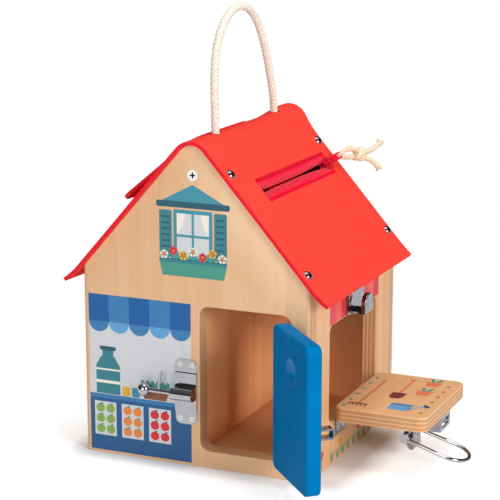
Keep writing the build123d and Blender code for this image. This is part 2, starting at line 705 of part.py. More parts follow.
with BuildPart() as bolt_tail:
    tail_foot = (BOLT_TAIL_X, BOLT_AXIS_Y, BOLT_HEIGHT)
    tail_neck = (BOLT_TAIL_X, BOLT_AXIS_Y, BOLT_HEIGHT + 2 * BOLT_ROD_RADIUS)
    tail_tip = (BOLT_TAIL_X + BOLT_TAIL_LEAN, BOLT_AXIS_Y, BOLT_HEIGHT + BOLT_TAIL_RISE)
    with BuildLine() as tail_line:
        Line(tail_foot, tail_neck)
        TangentArc(tail_neck, tail_tip, tangent=(0, 0, 1))
    with BuildSketch(Plane(origin=tail_foot)):
        Circle(BOLT_TAIL_RADIUS)
    sweep(path=tail_line.wire())
    with Locations(tail_tip):
        Sphere(BOLT_TAIL_RADIUS)

with BuildPart() as bolt_rod:
    ball_centre = (BOLT_BALL_X, BOLT_AXIS_Y, BOLT_HEIGHT)
    with BuildSketch(Plane(origin=ball_centre, x_dir=(1, 0, 0), z_dir=(0, -1, 0))) as rod_profile:
        Circle(BOLT_BALL_RADIUS)
        Rectangle(BOLT_PLATE_RIGHT - BOLT_BALL_X, BOLT_ROD_RADIUS, align=Align.MIN)
        lower_half = (Align.CENTER, Align.MAX)
        Rectangle(2 * BOLT_BALL_RADIUS, BOLT_BALL_RADIUS, align=lower_half, mode=Mode.SUBTRACT)
    revolve(axis=Axis(ball_centre, (1, 0, 0)))
    chamfer(bolt_rod.faces().sort_by(Axis.X)[-1].edges(), BOLT_ROD_RADIUS / 3)
    with Locations(tail_foot):
        tail_bore = BOLT_TAIL_RADIUS + SCREW_GAP
        Cylinder(tail_bore, 2 * BOLT_ROD_RADIUS, align=BASE_SEAT, mode=Mode.SUBTRACT)

# Side flap, let down level
FLAP_UNDERSIDE = Plane(origin=(FLAP_AXIS_X, 0, FLAP_AXIS_Z + FLAP_HINGE.axis_out))
FLAP_WIDTH = SIDE_OPENING_WIDTH - 2 * FLAP_SIDE_GAP
FLAP_END = SIDE_OPENING_HEIGHT + FLAP_AXIS_DROP - FLAP_END_GAP
FLAP_LENGTH = FLAP_END - FLAP_START
LATCH_PIN_X = FLAP_AXIS_X + FLAP_END - LATCH_PIN_FROM_END
LATCH_PIN_Z = FLAP_AXIS_Z + FLAP_HINGE.axis_out - LATCH_PIN_DROP
LATCH_PLACE = Plane(
    origin=(LATCH_PIN_X, SIDE_OPENING_Y, FLAP_AXIS_Z + FLAP_HINGE.axis_out), x_dir=(1, 0, 0), z_dir=(0, 0, -1)
)
LATCH_BASE_END = LATCH_BASE_LENGTH - LATCH_BASE_BEHIND_PIN
LATCH_SCREW_SPOTS = [
    LATCH_PLACE.location * Pos(LATCH_SCREW_AHEAD, aside, LATCH_BASE_THICK)
    for aside in (-LATCH_SCREW_SPREAD / 2, LATCH_SCREW_SPREAD / 2)
]

with BuildPart() as side_flap:
    with BuildSketch(FLAP_UNDERSIDE):
        with Locations((FLAP_START + FLAP_LENGTH / 2, SIDE_OPENING_Y)):
            RectangleRounded(FLAP_LENGTH, FLAP_WIDTH, FLAP_ROUND)
    extrude(amount=FLAP_THICK)
    fillet(side_flap.faces().filter_by(Axis.Z).edges(), EDGE_EASE)
    sink_screws(FLAP_SCREW_SPOTS, HINGE_SCREW)
    sink_screws(LATCH_SCREW_SPOTS, PLATE_SCREW)

flap_hinge_wall_leaves = hinge_leaves(FLAP_WALL_PLACES, FLAP_HINGE, FLAP_HINGE.outer_bands)
flap_hinge_leaves = hinge_leaves(FLAP_LEAF_PLACES, FLAP_HINGE, FLAP_HINGE.inner_bands)
flap_hinge_pins = hinge_pins(FLAP_WALL_PLACES, FLAP_HINGE)

with BuildPart() as flap_hinge_wall_screws:
    drive_screws(WALL_SCREW_SPOTS, HINGE_SCREW)

with BuildPart() as flap_hinge_screws:
    drive_screws(FLAP_SCREW_SPOTS, HINGE_SCREW)


# Toggle latch
def latch_side(aside):
    """The upright plane of one side of the latch, with the pin at its origin."""
    return Plane(origin=(LATCH_PIN_X, SIDE_OPENING_Y + aside, LATCH_PIN_Z), x_dir=(1, 0, 0), z_dir=(0, -1, 0))


EAR_SIDES = [latch_side(side * LATCH_EAR_SPREAD / 2) for side in (-1, 1)]
CHEEK_SIDES = [latch_side(side * LATCH_CHEEK_SPREAD / 2) for side in (-1, 1)]
LATCH_BORE = LATCH_PIN_RADIUS + PIN_GAP
BAIL_HOLE_AT = (-BAIL_OVER_CENTRE, -BAIL_CRANK)

with BuildPart() as latch_base:
    with BuildSketch(LATCH_PLACE):
        with Locations((LATCH_BASE_LENGTH / 2 - LATCH_BASE_BEHIND_PIN, 0)):
            RectangleRounded(LATCH_BASE_LENGTH, LATCH_BASE_WIDTH, LATCH_BASE_ROUND)
    extrude(amount=LATCH_BASE_THICK)
    for ear in EAR_SIDES:
        with BuildSketch(ear):
            Circle(LATCH_EAR_RADIUS)
            Rectangle(2 * LATCH_EAR_RADIUS, LATCH_PIN_DROP, align=(Align.CENTER, Align.MIN))
            Circle(LATCH_BORE, mode=Mode.SUBTRACT)
        extrude(amount=LATCH_SHEET / 2, both=True)
    with BuildSketch(LATCH_PLACE):
        with Locations((LATCH_BASE_END - LATCH_SHEET / 2, 0)):
            Rectangle(LATCH_SHEET, LATCH_LIP_WIDTH)
        lip_side = (LATCH_LIP_WIDTH - LATCH_SHEET) / 2
        with Locations(*[(LATCH_BASE_END - LATCH_LIP_SIDE / 2, side * lip_side) for side in (-1, 1)]):
            Rectangle(LATCH_LIP_SIDE, LATCH_SHEET)
    extrude(amount=LATCH_LIP_DROP)
    with Locations(LATCH_PLACE.from_local_coords((LATCH_BASE_END, 0, LATCH_LIP_DROP / 2))):
        Box(2 * LATCH_SHEET, LATCH_LIP_SLOT, LATCH_LIP_SLOT_TALL, mode=Mode.SUBTRACT)
    sink_screws(LATCH_SCREW_SPOTS, PLATE_SCREW)

with BuildPart() as latch_base_screws:
    drive_screws(LATCH_SCREW_SPOTS, PLATE_SCREW)

with BuildPart() as latch_lever_pin:
    with BuildSketch(latch_side(0)):
        Circle(LATCH_PIN_RADIUS)
    extrude(amount=LATCH_CHEEK_SPREAD / 2 + LATCH_SHEET, both=True)

with BuildPart() as latch_lever:
    for cheek in CHEEK_SIDES:
        with BuildSketch(cheek):
            Circle(LATCH_EAR_RADIUS)
            with BuildLine():
                Polyline(
                    (-LATCH_EAR_RADIUS, 0),
                    (LATCH_EAR_RADIUS, 0),
                    (LATCH_EAR_RADIUS, -LEVER_LENGTH),
                    (LATCH_EAR_RADIUS - LEVER_NARROWING, -LEVER_LENGTH),
                    (-LATCH_EAR_RADIUS, -BAIL_CRANK - LATCH_EAR_RADIUS),
                    close=True,
                )
            make_face()
            Circle(LATCH_BORE, mode=Mode.SUBTRACT)
            with Locations(BAIL_HOLE_AT):
                Circle(BAIL_WIRE_RADIUS + PIN_GAP, mode=Mode.SUBTRACT)
        extrude(amount=LATCH_SHEET / 2, both=True)
    with BuildSketch(latch_side(0)):
        with Locations((LATCH_EAR_RADIUS - LATCH_SHEET, -LEVER_LENGTH)):
            Rectangle(LATCH_SHEET, LEVER_LENGTH - LEVER_PLATE_START, align=Align.MIN)
    extrude(amount=(LATCH_CHEEK_SPREAD + LATCH_SHEET) / 2, both=True)

# The bail: a collar at each of the lever's cheeks, two legs and a round end
DROOP = radians(BAIL_DROOP)
BAIL_EYE = (LATCH_PIN_X - BAIL_OVER_CENTRE, LATCH_PIN_Z - BAIL_CRANK)
BAIL_TIP = (BAIL_EYE[0] + BAIL_LENGTH * cos(DROOP), BAIL_EYE[1] - BAIL_LENGTH * sin(DROOP))
BAIL_INNER = LATCH_EAR_SPREAD / 2 + LATCH_SHEET / 2 + BAIL_END_GAP
BAIL_STOPS = [
    (BAIL_EYE, -BAIL_INNER),
    (BAIL_EYE, -BAIL_LEG_SPREAD / 2),
    (BAIL_TIP, -BAIL_TIP_SPREAD / 2),
    (BAIL_TIP, BAIL_TIP_SPREAD / 2),
    (BAIL_EYE, BAIL_LEG_SPREAD / 2),
    (BAIL_EYE, BAIL_INNER),
]

with BuildPart() as latch_bail:
    with BuildLine() as bail_line:
        bends = (BAIL_EYE_BEND, BAIL_CORNER, BAIL_CORNER, BAIL_EYE_BEND)
        FilletPolyline(*[(x, SIDE_OPENING_Y + aside, z) for (x, z), aside in BAIL_STOPS], radius=bends)
    with BuildSketch(Plane(origin=bail_line.wire() @ 0, z_dir=bail_line.wire() % 0)):
        Circle(BAIL_WIRE_RADIUS)
    sweep(path=bail_line.wire())
    collar_start = (LATCH_CHEEK_SPREAD + LATCH_SHEET) / 2 + BAIL_END_GAP
    collar_end = BAIL_LEG_SPREAD / 2 + BAIL_WIRE_RADIUS
    for side in (-1, 1):
        collar_foot = (BAIL_EYE[0], SIDE_OPENING_Y + side * collar_start, BAIL_EYE[1])
        with BuildSketch(Plane(origin=collar_foot, z_dir=(0, side, 0))):
            Circle(BAIL_COLLAR_RADIUS)
        extrude(amount=collar_end - collar_start)

with BuildPart() as latch_catch:
    with BuildSketch(RIGHT_FACE):
        with Locations((SIDE_OPENING_Y, CATCH_BOTTOM + CATCH_HEIGHT / 2)):
            RectangleRounded(CATCH_WIDTH, CATCH_HEIGHT, CATCH_ROUND)
    extrude(amount=CATCH_SHEET)
    with BuildSketch(RIGHT_FACE):
        with Locations((SIDE_OPENING_Y, CATCH_BOTTOM + CATCH_SHEET / 2)):
            Rectangle(HOOK_WIDTH, CATCH_SHEET)
    extrude(amount=HOOK_REACH)
    with BuildSketch(RIGHT_FACE.offset(HOOK_REACH)) as nose:
        with Locations((SIDE_OPENING_Y, CATCH_BOTTOM)):
            Rectangle(HOOK_WIDTH, HOOK_RISE, align=(Align.CENTER, Align.MIN))
        fillet(nose.vertices().group_by(Axis.Y)[-1], HOOK_ROUND)
    extrude(amount=-HOOK_NOSE_THICK)
    fillet(latch_catch.faces().sort_by(Axis.X)[-1].edges(), HOOK_NOSE_EDGE)
    sink_screws(CATCH_SCREW_SPOTS, PLATE_SCREW)

with BuildPart() as catch_screws:
    drive_screws(CATCH_SCREW_SPOTS, PLATE_SCREW)

# Felt roof
ZIP_LENGTH = HOUSE_DEPTH - ZIP_FROM_FRONT - ZIP_FROM_BACK
ZIP_Y = FRONT_Y + ZIP_FROM_FRONT + ZIP_LENGTH / 2
ROOF_FLAP_Y = FRONT_Y + ROOF_FLAP_FROM_FRONT + ROOF_FLAP_WIDTH / 2

with BuildPart() as roof_felt:
    with BuildSketch(FRONT_FACE.offset(FRONT_OVERHANG)):
        with BuildLine():
            for out in (FELT_TOP, FELT_SEAT):
                bends = [slope_point(side, SLOPE_LENGTH, out) for side in (1, -1)]
                hems = [slope_point(side, -EAVE_OVERHANG, out) for side in (1, -1)]
                Line(hems[0], bends[0])
                ThreePointArc(bends[0], ridge_point(0, out), bends[1])
                Line(bends[1], hems[1])
            for side in (-1, 1):
                Line(*[slope_point(side, -EAVE_OVERHANG, out) for out in (FELT_TOP, FELT_SEAT)])
        make_face()
    extrude(amount=-(HOUSE_DEPTH + FRONT_OVERHANG))
    with BuildSketch(RIGHT_SLOPE):
        with Locations((ZIP_Y, ZIP_UP_SLOPE)):
            RectangleRounded(ZIP_LENGTH, ZIP_WIDTH, ZIP_CORNER)
    extrude(amount=2 * FELT_TOP, mode=Mode.SUBTRACT)
    with BuildSketch(LEFT_SLOPE):
        with Locations((-ROOF_FLAP_Y, HATCH_UP_SLOPE)):
            RectangleRounded(HATCH_WIDTH, HATCH_HEIGHT, HATCH_RADIUS)
    extrude(amount=2 * FELT_TOP, mode=Mode.SUBTRACT)
    with Locations((0, ROPE_FRONT_Y, RIDGE_CENTRE_Z), (0, ROPE_BACK_Y, RIDGE_CENTRE_Z)):
        rope_hole = ROPE_DIAMETER / 2 + ROPE_HOLE_GAP
        Cylinder(rope_hole, RIDGE_RADIUS + 2 * FELT_TOP, align=BASE_SEAT, mode=Mode.SUBTRACT)
    bore_joints()

RIVET_SPHERE = (RIVET_HEAD_RADIUS**2 + RIVET_HEAD_RISE**2) / (2 * RIVET_HEAD_RISE)
RIVET_CUT = degrees(asin((RIVET_SPHERE - RIVET_HEAD_RISE) / RIVET_SPHERE))

with BuildPart() as roof_rivets:
    with Locations(*RIVET_SPOTS):
        Sphere(RIVET_SPHERE, arc_size1=RIVET_CUT, align=BASE_SEAT)
        Cylinder(RIVET_SHANK_RADIUS, RIVET_LENGTH, align=TOP_SEAT)

# The felt flap on the left slope leaves the ridge in a straight line from its sewn hem
LEAVE = PITCH - radians(ROOF_FLAP_LIFT)
HEM_SEAT = FELT_TOP + FELT_SEAT
NOSE_RADIUS = FELT_THICK / 2
NOSE_REACH = RIDGE_RADIUS + HEM_SEAT + NOSE_RADIUS
ROOF_HINGE = ridge_point(LEAVE, HEM_SEAT + NOSE_RADIUS)
HEM_END_ANGLE = LEAVE - (NOSE_RADIUS + CLEAR) / NOSE_REACH
HEM_START = radians(HEM_START_ANGLE)
HEM_MIDDLE = (HEM_START + HEM_END_ANGLE) / 2
ROOF_FLAP_SECTION = Plane(
    origin=(0, FRONT_Y + ROOF_FLAP_FROM_FRONT, 0), x_dir=(1, 0, 0), z_dir=(0, -1, 0)
)
ROOF_FLAP_PLACE = Plane(
    origin=(ROOF_HINGE[0], ROOF_FLAP_Y, ROOF_HINGE[1]),
    x_dir=(-cos(LEAVE), 0, -sin(LEAVE)),
    z_dir=(-sin(LEAVE), 0, cos(LEAVE)),
)

with BuildPart() as flap_hem:
    with BuildSketch(ROOF_FLAP_SECTION):
        with BuildLine():
            inner, outer = HEM_SEAT, HEM_SEAT + FELT_THICK
            ThreePointArc(*[ridge_point(angle, inner) for angle in (HEM_START, HEM_MIDDLE, HEM_END_ANGLE)])
            ThreePointArc(*[ridge_point(angle, outer) for angle in (HEM_START, HEM_MIDDLE, HEM_END_ANGLE)])
            for angle in (HEM_START, HEM_END_ANGLE):
                Line(ridge_point(angle, inner), ridge_point(angle, outer))
        make_face()
    extrude(amount=-ROOF_FLAP_WIDTH)
    with Locations((0, ROPE_FRONT_Y, RIDGE_CENTRE_Z)):
        Cylinder(rope_hole, 2 * NOSE_REACH, align=BASE_SEAT, mode=Mode.SUBTRACT)

with BuildPart() as roof_flap:
    with BuildSketch(ROOF_FLAP_PLACE.offset(-NOSE_RADIUS)):
        Rectangle(ROOF_FLAP_LENGTH, ROOF_FLAP_WIDTH, align=(Align.MIN, Align.CENTER))
    extrude(amount=FELT_THICK)
    flap_corners = roof_flap.edges().filter_by(Axis((0, 0, 0), ROOF_FLAP_PLACE.z_dir))
    fillet(flap_corners.sort_by(Axis.X)[:2], ROOF_FLAP_ROUND)
    with BuildSketch(Plane(origin=ROOF_FLAP_PLACE.origin, z_dir=(0, 1, 0))):
        Circle(NOSE_RADIUS)
    extrude(amount=ROOF_FLAP_WIDTH / 2, both=True)

FASTENER_ALONG = ROOF_FLAP_LENGTH - FASTENER_FROM_END
FASTENER_SPOT = ROOF_FLAP_PLACE.from_local_coords((FASTENER_ALONG, 0, -NOSE_RADIUS))
FASTENER_UP_SLOPE = LEFT_SLOPE.to_local_coords(FASTENER_SPOT).Y

with BuildPart() as flap_fastener:
    with BuildSketch(ROOF_FLAP_PLACE.offset(-NOSE_RADIUS)):
        with Locations((FASTENER_ALONG, 0)):
            Rectangle(FASTENER_HEIGHT, FASTENER_WIDTH)
    extrude(amount=-FASTENER_THICK)

with BuildPart() as roof_fastener:
    with BuildSketch(LEFT_SLOPE.offset(FELT_TOP)):
        with Locations((-ROOF_FLAP_Y, FASTENER_UP_SLOPE)):
            Rectangle(FASTENER_WIDTH, FASTENER_HEIGHT)
    extrude(amount=FASTENER_THICK)

# Zip: two tapes under the felt, a coil along each, a stop in front, and the slider at the rear
TAPE_LENGTH = ZIP_LENGTH + TAPE_MARGIN
COIL_COUNT = int((ZIP_LENGTH - STOP_LONG - 2 * CLEAR) / COIL_PITCH)
COIL_LENGTH = COIL_COUNT * COIL_PITCH
COIL_WIDTH = COIL_CORE + COIL_TOOTH_REACH
COIL_FRONT = ZIP_Y - ZIP_LENGTH / 2 + STOP_LONG + CLEAR
COIL_Y = COIL_FRONT + COIL_LENGTH / 2

with BuildPart() as zip_tapes:
    with BuildSketch(RIGHT_SLOPE):
        for side in (-1, 1):
            with Locations((ZIP_Y, ZIP_UP_SLOPE + side * (ZIP_SLIT + TAPE_WIDTH) / 2)):
                Rectangle(TAPE_LENGTH, TAPE_WIDTH)
    extrude(amount=-TAPE_THICK)

with BuildPart() as zip_coils:
    with BuildSketch(RIGHT_SLOPE):
        for side in (-1, 1):
            core = ZIP_SLIT / 2 + COIL_TOOTH_REACH + COIL_CORE / 2
            with Locations((COIL_Y, ZIP_UP_SLOPE + side * core)):
                Rectangle(COIL_LENGTH, COIL_CORE)
            with Locations((COIL_Y, ZIP_UP_SLOPE + side * (ZIP_SLIT + COIL_WIDTH) / 2)):
                with GridLocations(COIL_PITCH, 0, COIL_COUNT, 1):
                    Rectangle(COIL_TOOTH_LONG, COIL_WIDTH)
    extrude(amount=COIL_RISE)

with BuildPart() as zip_stop:
    with BuildSketch(RIGHT_SLOPE):
        with Locations((COIL_FRONT - CLEAR - STOP_LONG / 2, ZIP_UP_SLOPE)):
            Rectangle(STOP_LONG, ZIP_SLIT + 2 * COIL_WIDTH)
    extrude(amount=COIL_RISE + STOP_RISE)

SLIDER_Y = BACK_Y - ZIP_FROM_BACK - SLIDER_FROM_ZIP_END
SLIDER_TOP = COIL_RISE + SLIDER_GAP + SLIDER_PLATE
SLIDER_BELOW = TAPE_THICK + SLIDER_GAP
SLIDER_SPOT = (SLIDER_Y, ZIP_UP_SLOPE)

with BuildPart() as zip_slider:
    with BuildSketch(RIGHT_SLOPE.offset(COIL_RISE + SLIDER_GAP)):
        with Locations(SLIDER_SPOT):
            RectangleRounded(SLIDER_LENGTH, SLIDER_WIDTH, SLIDER_ROUND)
    extrude(amount=SLIDER_PLATE)
    with BuildSketch(RIGHT_SLOPE.offset(-SLIDER_BELOW)):
        with Locations(SLIDER_SPOT):
            RectangleRounded(SLIDER_LENGTH, SLIDER_WIDTH, SLIDER_ROUND)
    extrude(amount=-SLIDER_PLATE)
    with BuildSketch(RIGHT_SLOPE.offset(-SLIDER_BELOW)):
        with Locations(SLIDER_SPOT):
            Rectangle(SLIDER_POST_LENGTH, SLIDER_POST_WIDTH)
    extrude(amount=SLIDER_BELOW + SLIDER_TOP)
    with BuildSketch(RIGHT_SLOPE.offset(SLIDER_TOP)):
        with Locations(SLIDER_SPOT):
            with GridLocations(BRIDGE_LENGTH - BRIDGE_POST, 0, 2, 1):
                Rectangle(BRIDGE_POST, BRIDGE_WIDTH)
    extrude(amount=BRIDGE_OPENING)
    with BuildSketch(RIGHT_SLOPE.offset(SLIDER_TOP + BRIDGE_OPENING)):
        with Locations(SLIDER_SPOT):
            Rectangle(BRIDGE_LENGTH, BRIDGE_WIDTH)
    extrude(amount=BRIDGE_BAR)

PULL_AXIS_OUT = SLIDER_TOP + BRIDGE_OPENING / 2
PULL_AXIS = RIGHT_SLOPE.from_local_coords((SLIDER_Y + PULL_BAR_ASIDE, ZIP_UP_SLOPE, PULL_AXIS_OUT))
LIFT = radians(PULL_LIFT)
PULL_ALONG = RIGHT_SLOPE.x_dir * cos(LIFT) + RIGHT_SLOPE.z_dir * sin(LIFT)
PULL_OUT = RIGHT_SLOPE.z_dir * cos(LIFT) - RIGHT_SLOPE.x_dir * sin(LIFT)
PULL_PLACE = Plane(origin=PULL_AXIS, x_dir=PULL_ALONG, z_dir=PULL_OUT)

with BuildPart() as zip_pull_tab:
    with BuildSketch(PULL_PLACE.offset(-PULL_THICK / 2)) as pull_outline:
        Rectangle(PULL_LENGTH, PULL_WIDTH, align=(Align.MIN, Align.CENTER))
        fillet(pull_outline.vertices().group_by(Axis.X)[-1], PULL_WIDTH / 3)
        window = (PULL_WINDOW, PULL_WIDTH - 2 * PULL_RAIL)
        Rectangle(*window, align=(Align.MIN, Align.CENTER), mode=Mode.SUBTRACT)
        with Locations((PULL_HOLE_AT, 0)):
            Circle(PULL_HOLE_RADIUS, mode=Mode.SUBTRACT)
    extrude(amount=PULL_THICK)
    with BuildSketch(Plane(origin=PULL_AXIS, x_dir=PULL_ALONG, z_dir=PULL_PLACE.y_dir)):
        Circle(PULL_BAR_RADIUS)
    extrude(amount=PULL_WIDTH / 2, both=True)

# Cords
HANDLE_ROUTE = [
    (0, -55.8, 217.0),
    (0, -55.6, 246.0),
    (0, -56.2, 276.0),
    (0, -58.0, 303.0),
    (0, -56.0, 329.0),
    (0, -44.0, 350.0),
    (0, -22.0, 363.0),
    (0, 2.0, 364.0),
    (0, 24.0, 353.0),
    (0, 40.0, 332.0),
    (0, 52.5, 306.0),
    (0, 63.0, 278.0),
    (0, 63.6, 247.0),
    (0, 63.4, 217.0),
]
PULL_HOLE_CENTRE = PULL_PLACE.from_local_coords((PULL_HOLE_AT, 0, 0))
UPPER_ROUTE = [
    tuple(PULL_HOLE_CENTRE),
    (51.7, 88.8, 230.7),
    (54.1, 89.9, 232.8),
    (56.2, 95.2, 234.6),
    (58.6, 105.0, 233.0),
    (59.2, 115.4, 228.6),
    (62.4, 126.6, 227.0),
    (65.8, 137.6, 229.4),
    (68.0, 147.6, 233.6),
]
LOWER_ROUTE = [
    tuple(PULL_HOLE_CENTRE),
    (47.8, 91.4, 227.3),
    (47.2, 94.1, 226.7),
    (49.6, 98.6, 226.2),
    (54.0, 107.0, 225.2),
    (58.6, 115.6, 224.8),
    (64.4, 122.8, 222.4),
    (69.4, 127.6, 218.4),
    (73.0, 131.6, 212.6),
]
PULL_KNOT_SPOT = (58.9, 115.5, 226.8)

handle_rope = cord_tube("handle_rope", HANDLE_ROUTE, ROPE_DIAMETER)
pull_cord_upper = cord_tube("pull_cord_upper", UPPER_ROUTE, PULL_CORD_DIAMETER)
pull_cord_lower = cord_tube("pull_cord_lower", LOWER_ROUTE, PULL_CORD_DIAMETER)

with BuildPart() as pull_knot:
    with Locations(PULL_KNOT_SPOT):
        Sphere(PULL_KNOT_RADIUS)

with BuildPart() as rope_knots:
    knot_z = BEAM_Z - BEAM_HEIGHT / 2 - ROPE_KNOT_RADIUS - FELT_SEAT
    with Locations((0, ROPE_FRONT_Y, knot_z), (0, ROPE_BACK_Y, knot_z)):
        Sphere(ROPE_KNOT_RADIUS)
        knot_bore = ROPE_DIAMETER / 2 + SCREW_GAP
        Cylinder(knot_bore, ROPE_KNOT_RADIUS, align=BASE_SEAT, mode=Mode.SUBTRACT)

PIECES = {
    "front_panel": front_panel,
    "back_panel": back_panel,
    "left_wall": left_wall,
    "right_wall": right_wall,
    "floor_panel": floor_panel,
    "centre_partition": centre_partition,
    "ridge_beam": ridge_beam,
    "panel_dowels": panel_dowels,
    "ridge_screws": ridge_screws,
    "front_door": front_door,
    "door_hinge_frame_leaves": door_hinge_frame_leaves,
    "door_hinge_frame_screws": door_hinge_frame_screws,
    "door_hinge_pins": door_hinge_pins,
    "door_hinge_door_leaves": door_hinge_door_leaves,
    "door_hinge_door_screws": door_hinge_door_screws,
    "bolt_keeper": bolt_keeper,
    "keeper_screws": keeper_screws,
    "bolt_plate": bolt_plate,
    "bolt_plate_screws": bolt_plate_screws,
    "bolt_rod": bolt_rod,
    "bolt_tail": bolt_tail,
    "side_flap": side_flap,
    "flap_hinge_wall_leaves": flap_hinge_wall_leaves,
    "flap_hinge_wall_screws": flap_hinge_wall_screws,
    "flap_hinge_pins": flap_hinge_pins,
    "flap_hinge_leaves": flap_hinge_leaves,
    "flap_hinge_screws": flap_hinge_screws,
    "latch_base": latch_base,
    "latch_base_screws": latch_base_screws,
    "latch_lever_pin": latch_lever_pin,
    "latch_lever": latch_lever,
    "latch_bail": latch_bail,
    "latch_catch": latch_catch,
    "catch_screws": catch_screws,
    "roof_felt": roof_felt,
    "roof_rivets": roof_rivets,
    "flap_hem": flap_hem,
    "roof_flap": roof_flap,
    "flap_fastener": flap_fastener,
    "roof_fastener": roof_fastener,
    "zip_tapes": zip_tapes,
    "zip_coils": zip_coils,
    "zip_stop": zip_stop,
    "zip_slider": zip_slider,
    "zip_pull_tab": zip_pull_tab,
    "handle_rope": handle_rope,
    "rope_knots": rope_knots,
    "pull_cord_upper": pull_cord_upper,
    "pull_cord_lower": pull_cord_lower,
    "pull_knot": pull_knot,
}

os.makedirs("parts", exist_ok=True)
for name, piece in PIECES.items():
    piece.part.label = name
    export_step(piece.part, f"parts/{name}.step")
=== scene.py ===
"""The looks of a wooden play house with latches: its finishes, prints, felt, zip and cords."""

import logging
import math
from collections.abc import Callable, Iterator
from contextlib import contextmanager
from dataclasses import dataclass, field, replace
from enum import Enum

import bpy
from mathutils import Matrix, Vector


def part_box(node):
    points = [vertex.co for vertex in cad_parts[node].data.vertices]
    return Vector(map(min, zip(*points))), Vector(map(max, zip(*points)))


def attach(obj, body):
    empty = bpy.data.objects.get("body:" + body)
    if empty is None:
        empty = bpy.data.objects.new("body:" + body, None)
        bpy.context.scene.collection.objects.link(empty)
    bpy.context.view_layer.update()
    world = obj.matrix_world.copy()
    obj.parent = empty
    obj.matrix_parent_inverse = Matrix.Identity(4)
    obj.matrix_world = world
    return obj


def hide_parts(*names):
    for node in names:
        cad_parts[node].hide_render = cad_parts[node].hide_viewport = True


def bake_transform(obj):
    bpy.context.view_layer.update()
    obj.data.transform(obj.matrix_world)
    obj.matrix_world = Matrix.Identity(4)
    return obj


logging.basicConfig(level=logging.INFO, format="%(name)s: %(message)s")
LOG = logging.getLogger("play_house")

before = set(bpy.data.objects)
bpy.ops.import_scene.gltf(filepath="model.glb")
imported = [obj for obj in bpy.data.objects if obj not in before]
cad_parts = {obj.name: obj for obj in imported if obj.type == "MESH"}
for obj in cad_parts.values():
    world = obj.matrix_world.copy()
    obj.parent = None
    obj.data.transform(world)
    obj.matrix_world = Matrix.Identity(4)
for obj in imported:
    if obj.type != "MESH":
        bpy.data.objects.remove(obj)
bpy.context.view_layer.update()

MM = 0.001
HALF = 0.5
WHITE = (1.0, 1.0, 1.0, 1.0)
STRAND_MAP = "strand"
Piece = bpy.types.Object
Material = bpy.types.Material
Spot = tuple[float, float]
Point = tuple[float, float, float]
Outline = tuple[Spot, ...]
Path = tuple[Point, ...]
Noise = tuple[float, float, float]
Band = tuple[float, float, float, float]
Colour = tuple[float, float, float, float]


def srgb(red: int, green: int, blue: int) -> Colour:
    """Turns a screen colour into the linear colour that shaders take.

    Args:
        red: From 0 to 255.
        green: From 0 to 255.
        blue: From 0 to 255.

    Returns:
        The linear colour, with full alpha.
    """
    linear = []
    for part in (red, green, blue):
        share = part / 255
        linear.append(share / 12.92 if share <= 0.04045 else ((share + 0.055) / 1.055) ** 2.4)
    return (*linear, 1.0)


class Axis(Enum):
    """An axis of the house's frame, as the number of its coordinate."""

    X = 0
    Y = 1
    Z = 2


# Shader expressions


class Shade:
    """A shader value: an output socket that Python's operators add Math nodes to."""

    def __init__(self, graph: "Nodes", socket: bpy.types.NodeSocket) -> None:
        """Keeps the graph that new nodes go to, and the socket."""
        self.graph = graph
        self.socket = socket

    def maths(self, operation: str, *others: "Shade | float") -> "Shade":
        """Adds a Math node with this value first.

        Args:
            operation: The Math node's operation.
            others: The further values.

        Returns:
            The node's result.
        """
        return self.graph.maths(operation, self, *others)

    def __add__(self, other: "Shade | float") -> "Shade":
        """This plus the other."""
        return self.maths("ADD", other)

    def __radd__(self, other: float) -> "Shade":
        """The other plus this."""
        return self.graph.maths("ADD", other, self)

    def __sub__(self, other: "Shade | float") -> "Shade":
        """This minus the other."""
        return self.maths("SUBTRACT", other)

    def __rsub__(self, other: float) -> "Shade":
        """The other minus this."""
        return self.graph.maths("SUBTRACT", other, self)

    def __mul__(self, other: "Shade | float") -> "Shade":
        """This times the other."""
        return self.maths("MULTIPLY", other)

    def __rmul__(self, other: float) -> "Shade":
        """The other times this."""
        return self.graph.maths("MULTIPLY", other, self)

    def __truediv__(self, other: "Shade | float") -> "Shade":
        """This divided by the other."""
        return self.maths("DIVIDE", other)

    def __gt__(self, other: "Shade | float") -> "Shade":
        """One where this is the larger, and zero elsewhere."""
        return self.maths("GREATER_THAN", other)

    def __mod__(self, other: "Shade | float") -> "Shade":
        """The remainder, never negative."""
        return self.maths("FLOORED_MODULO", other)


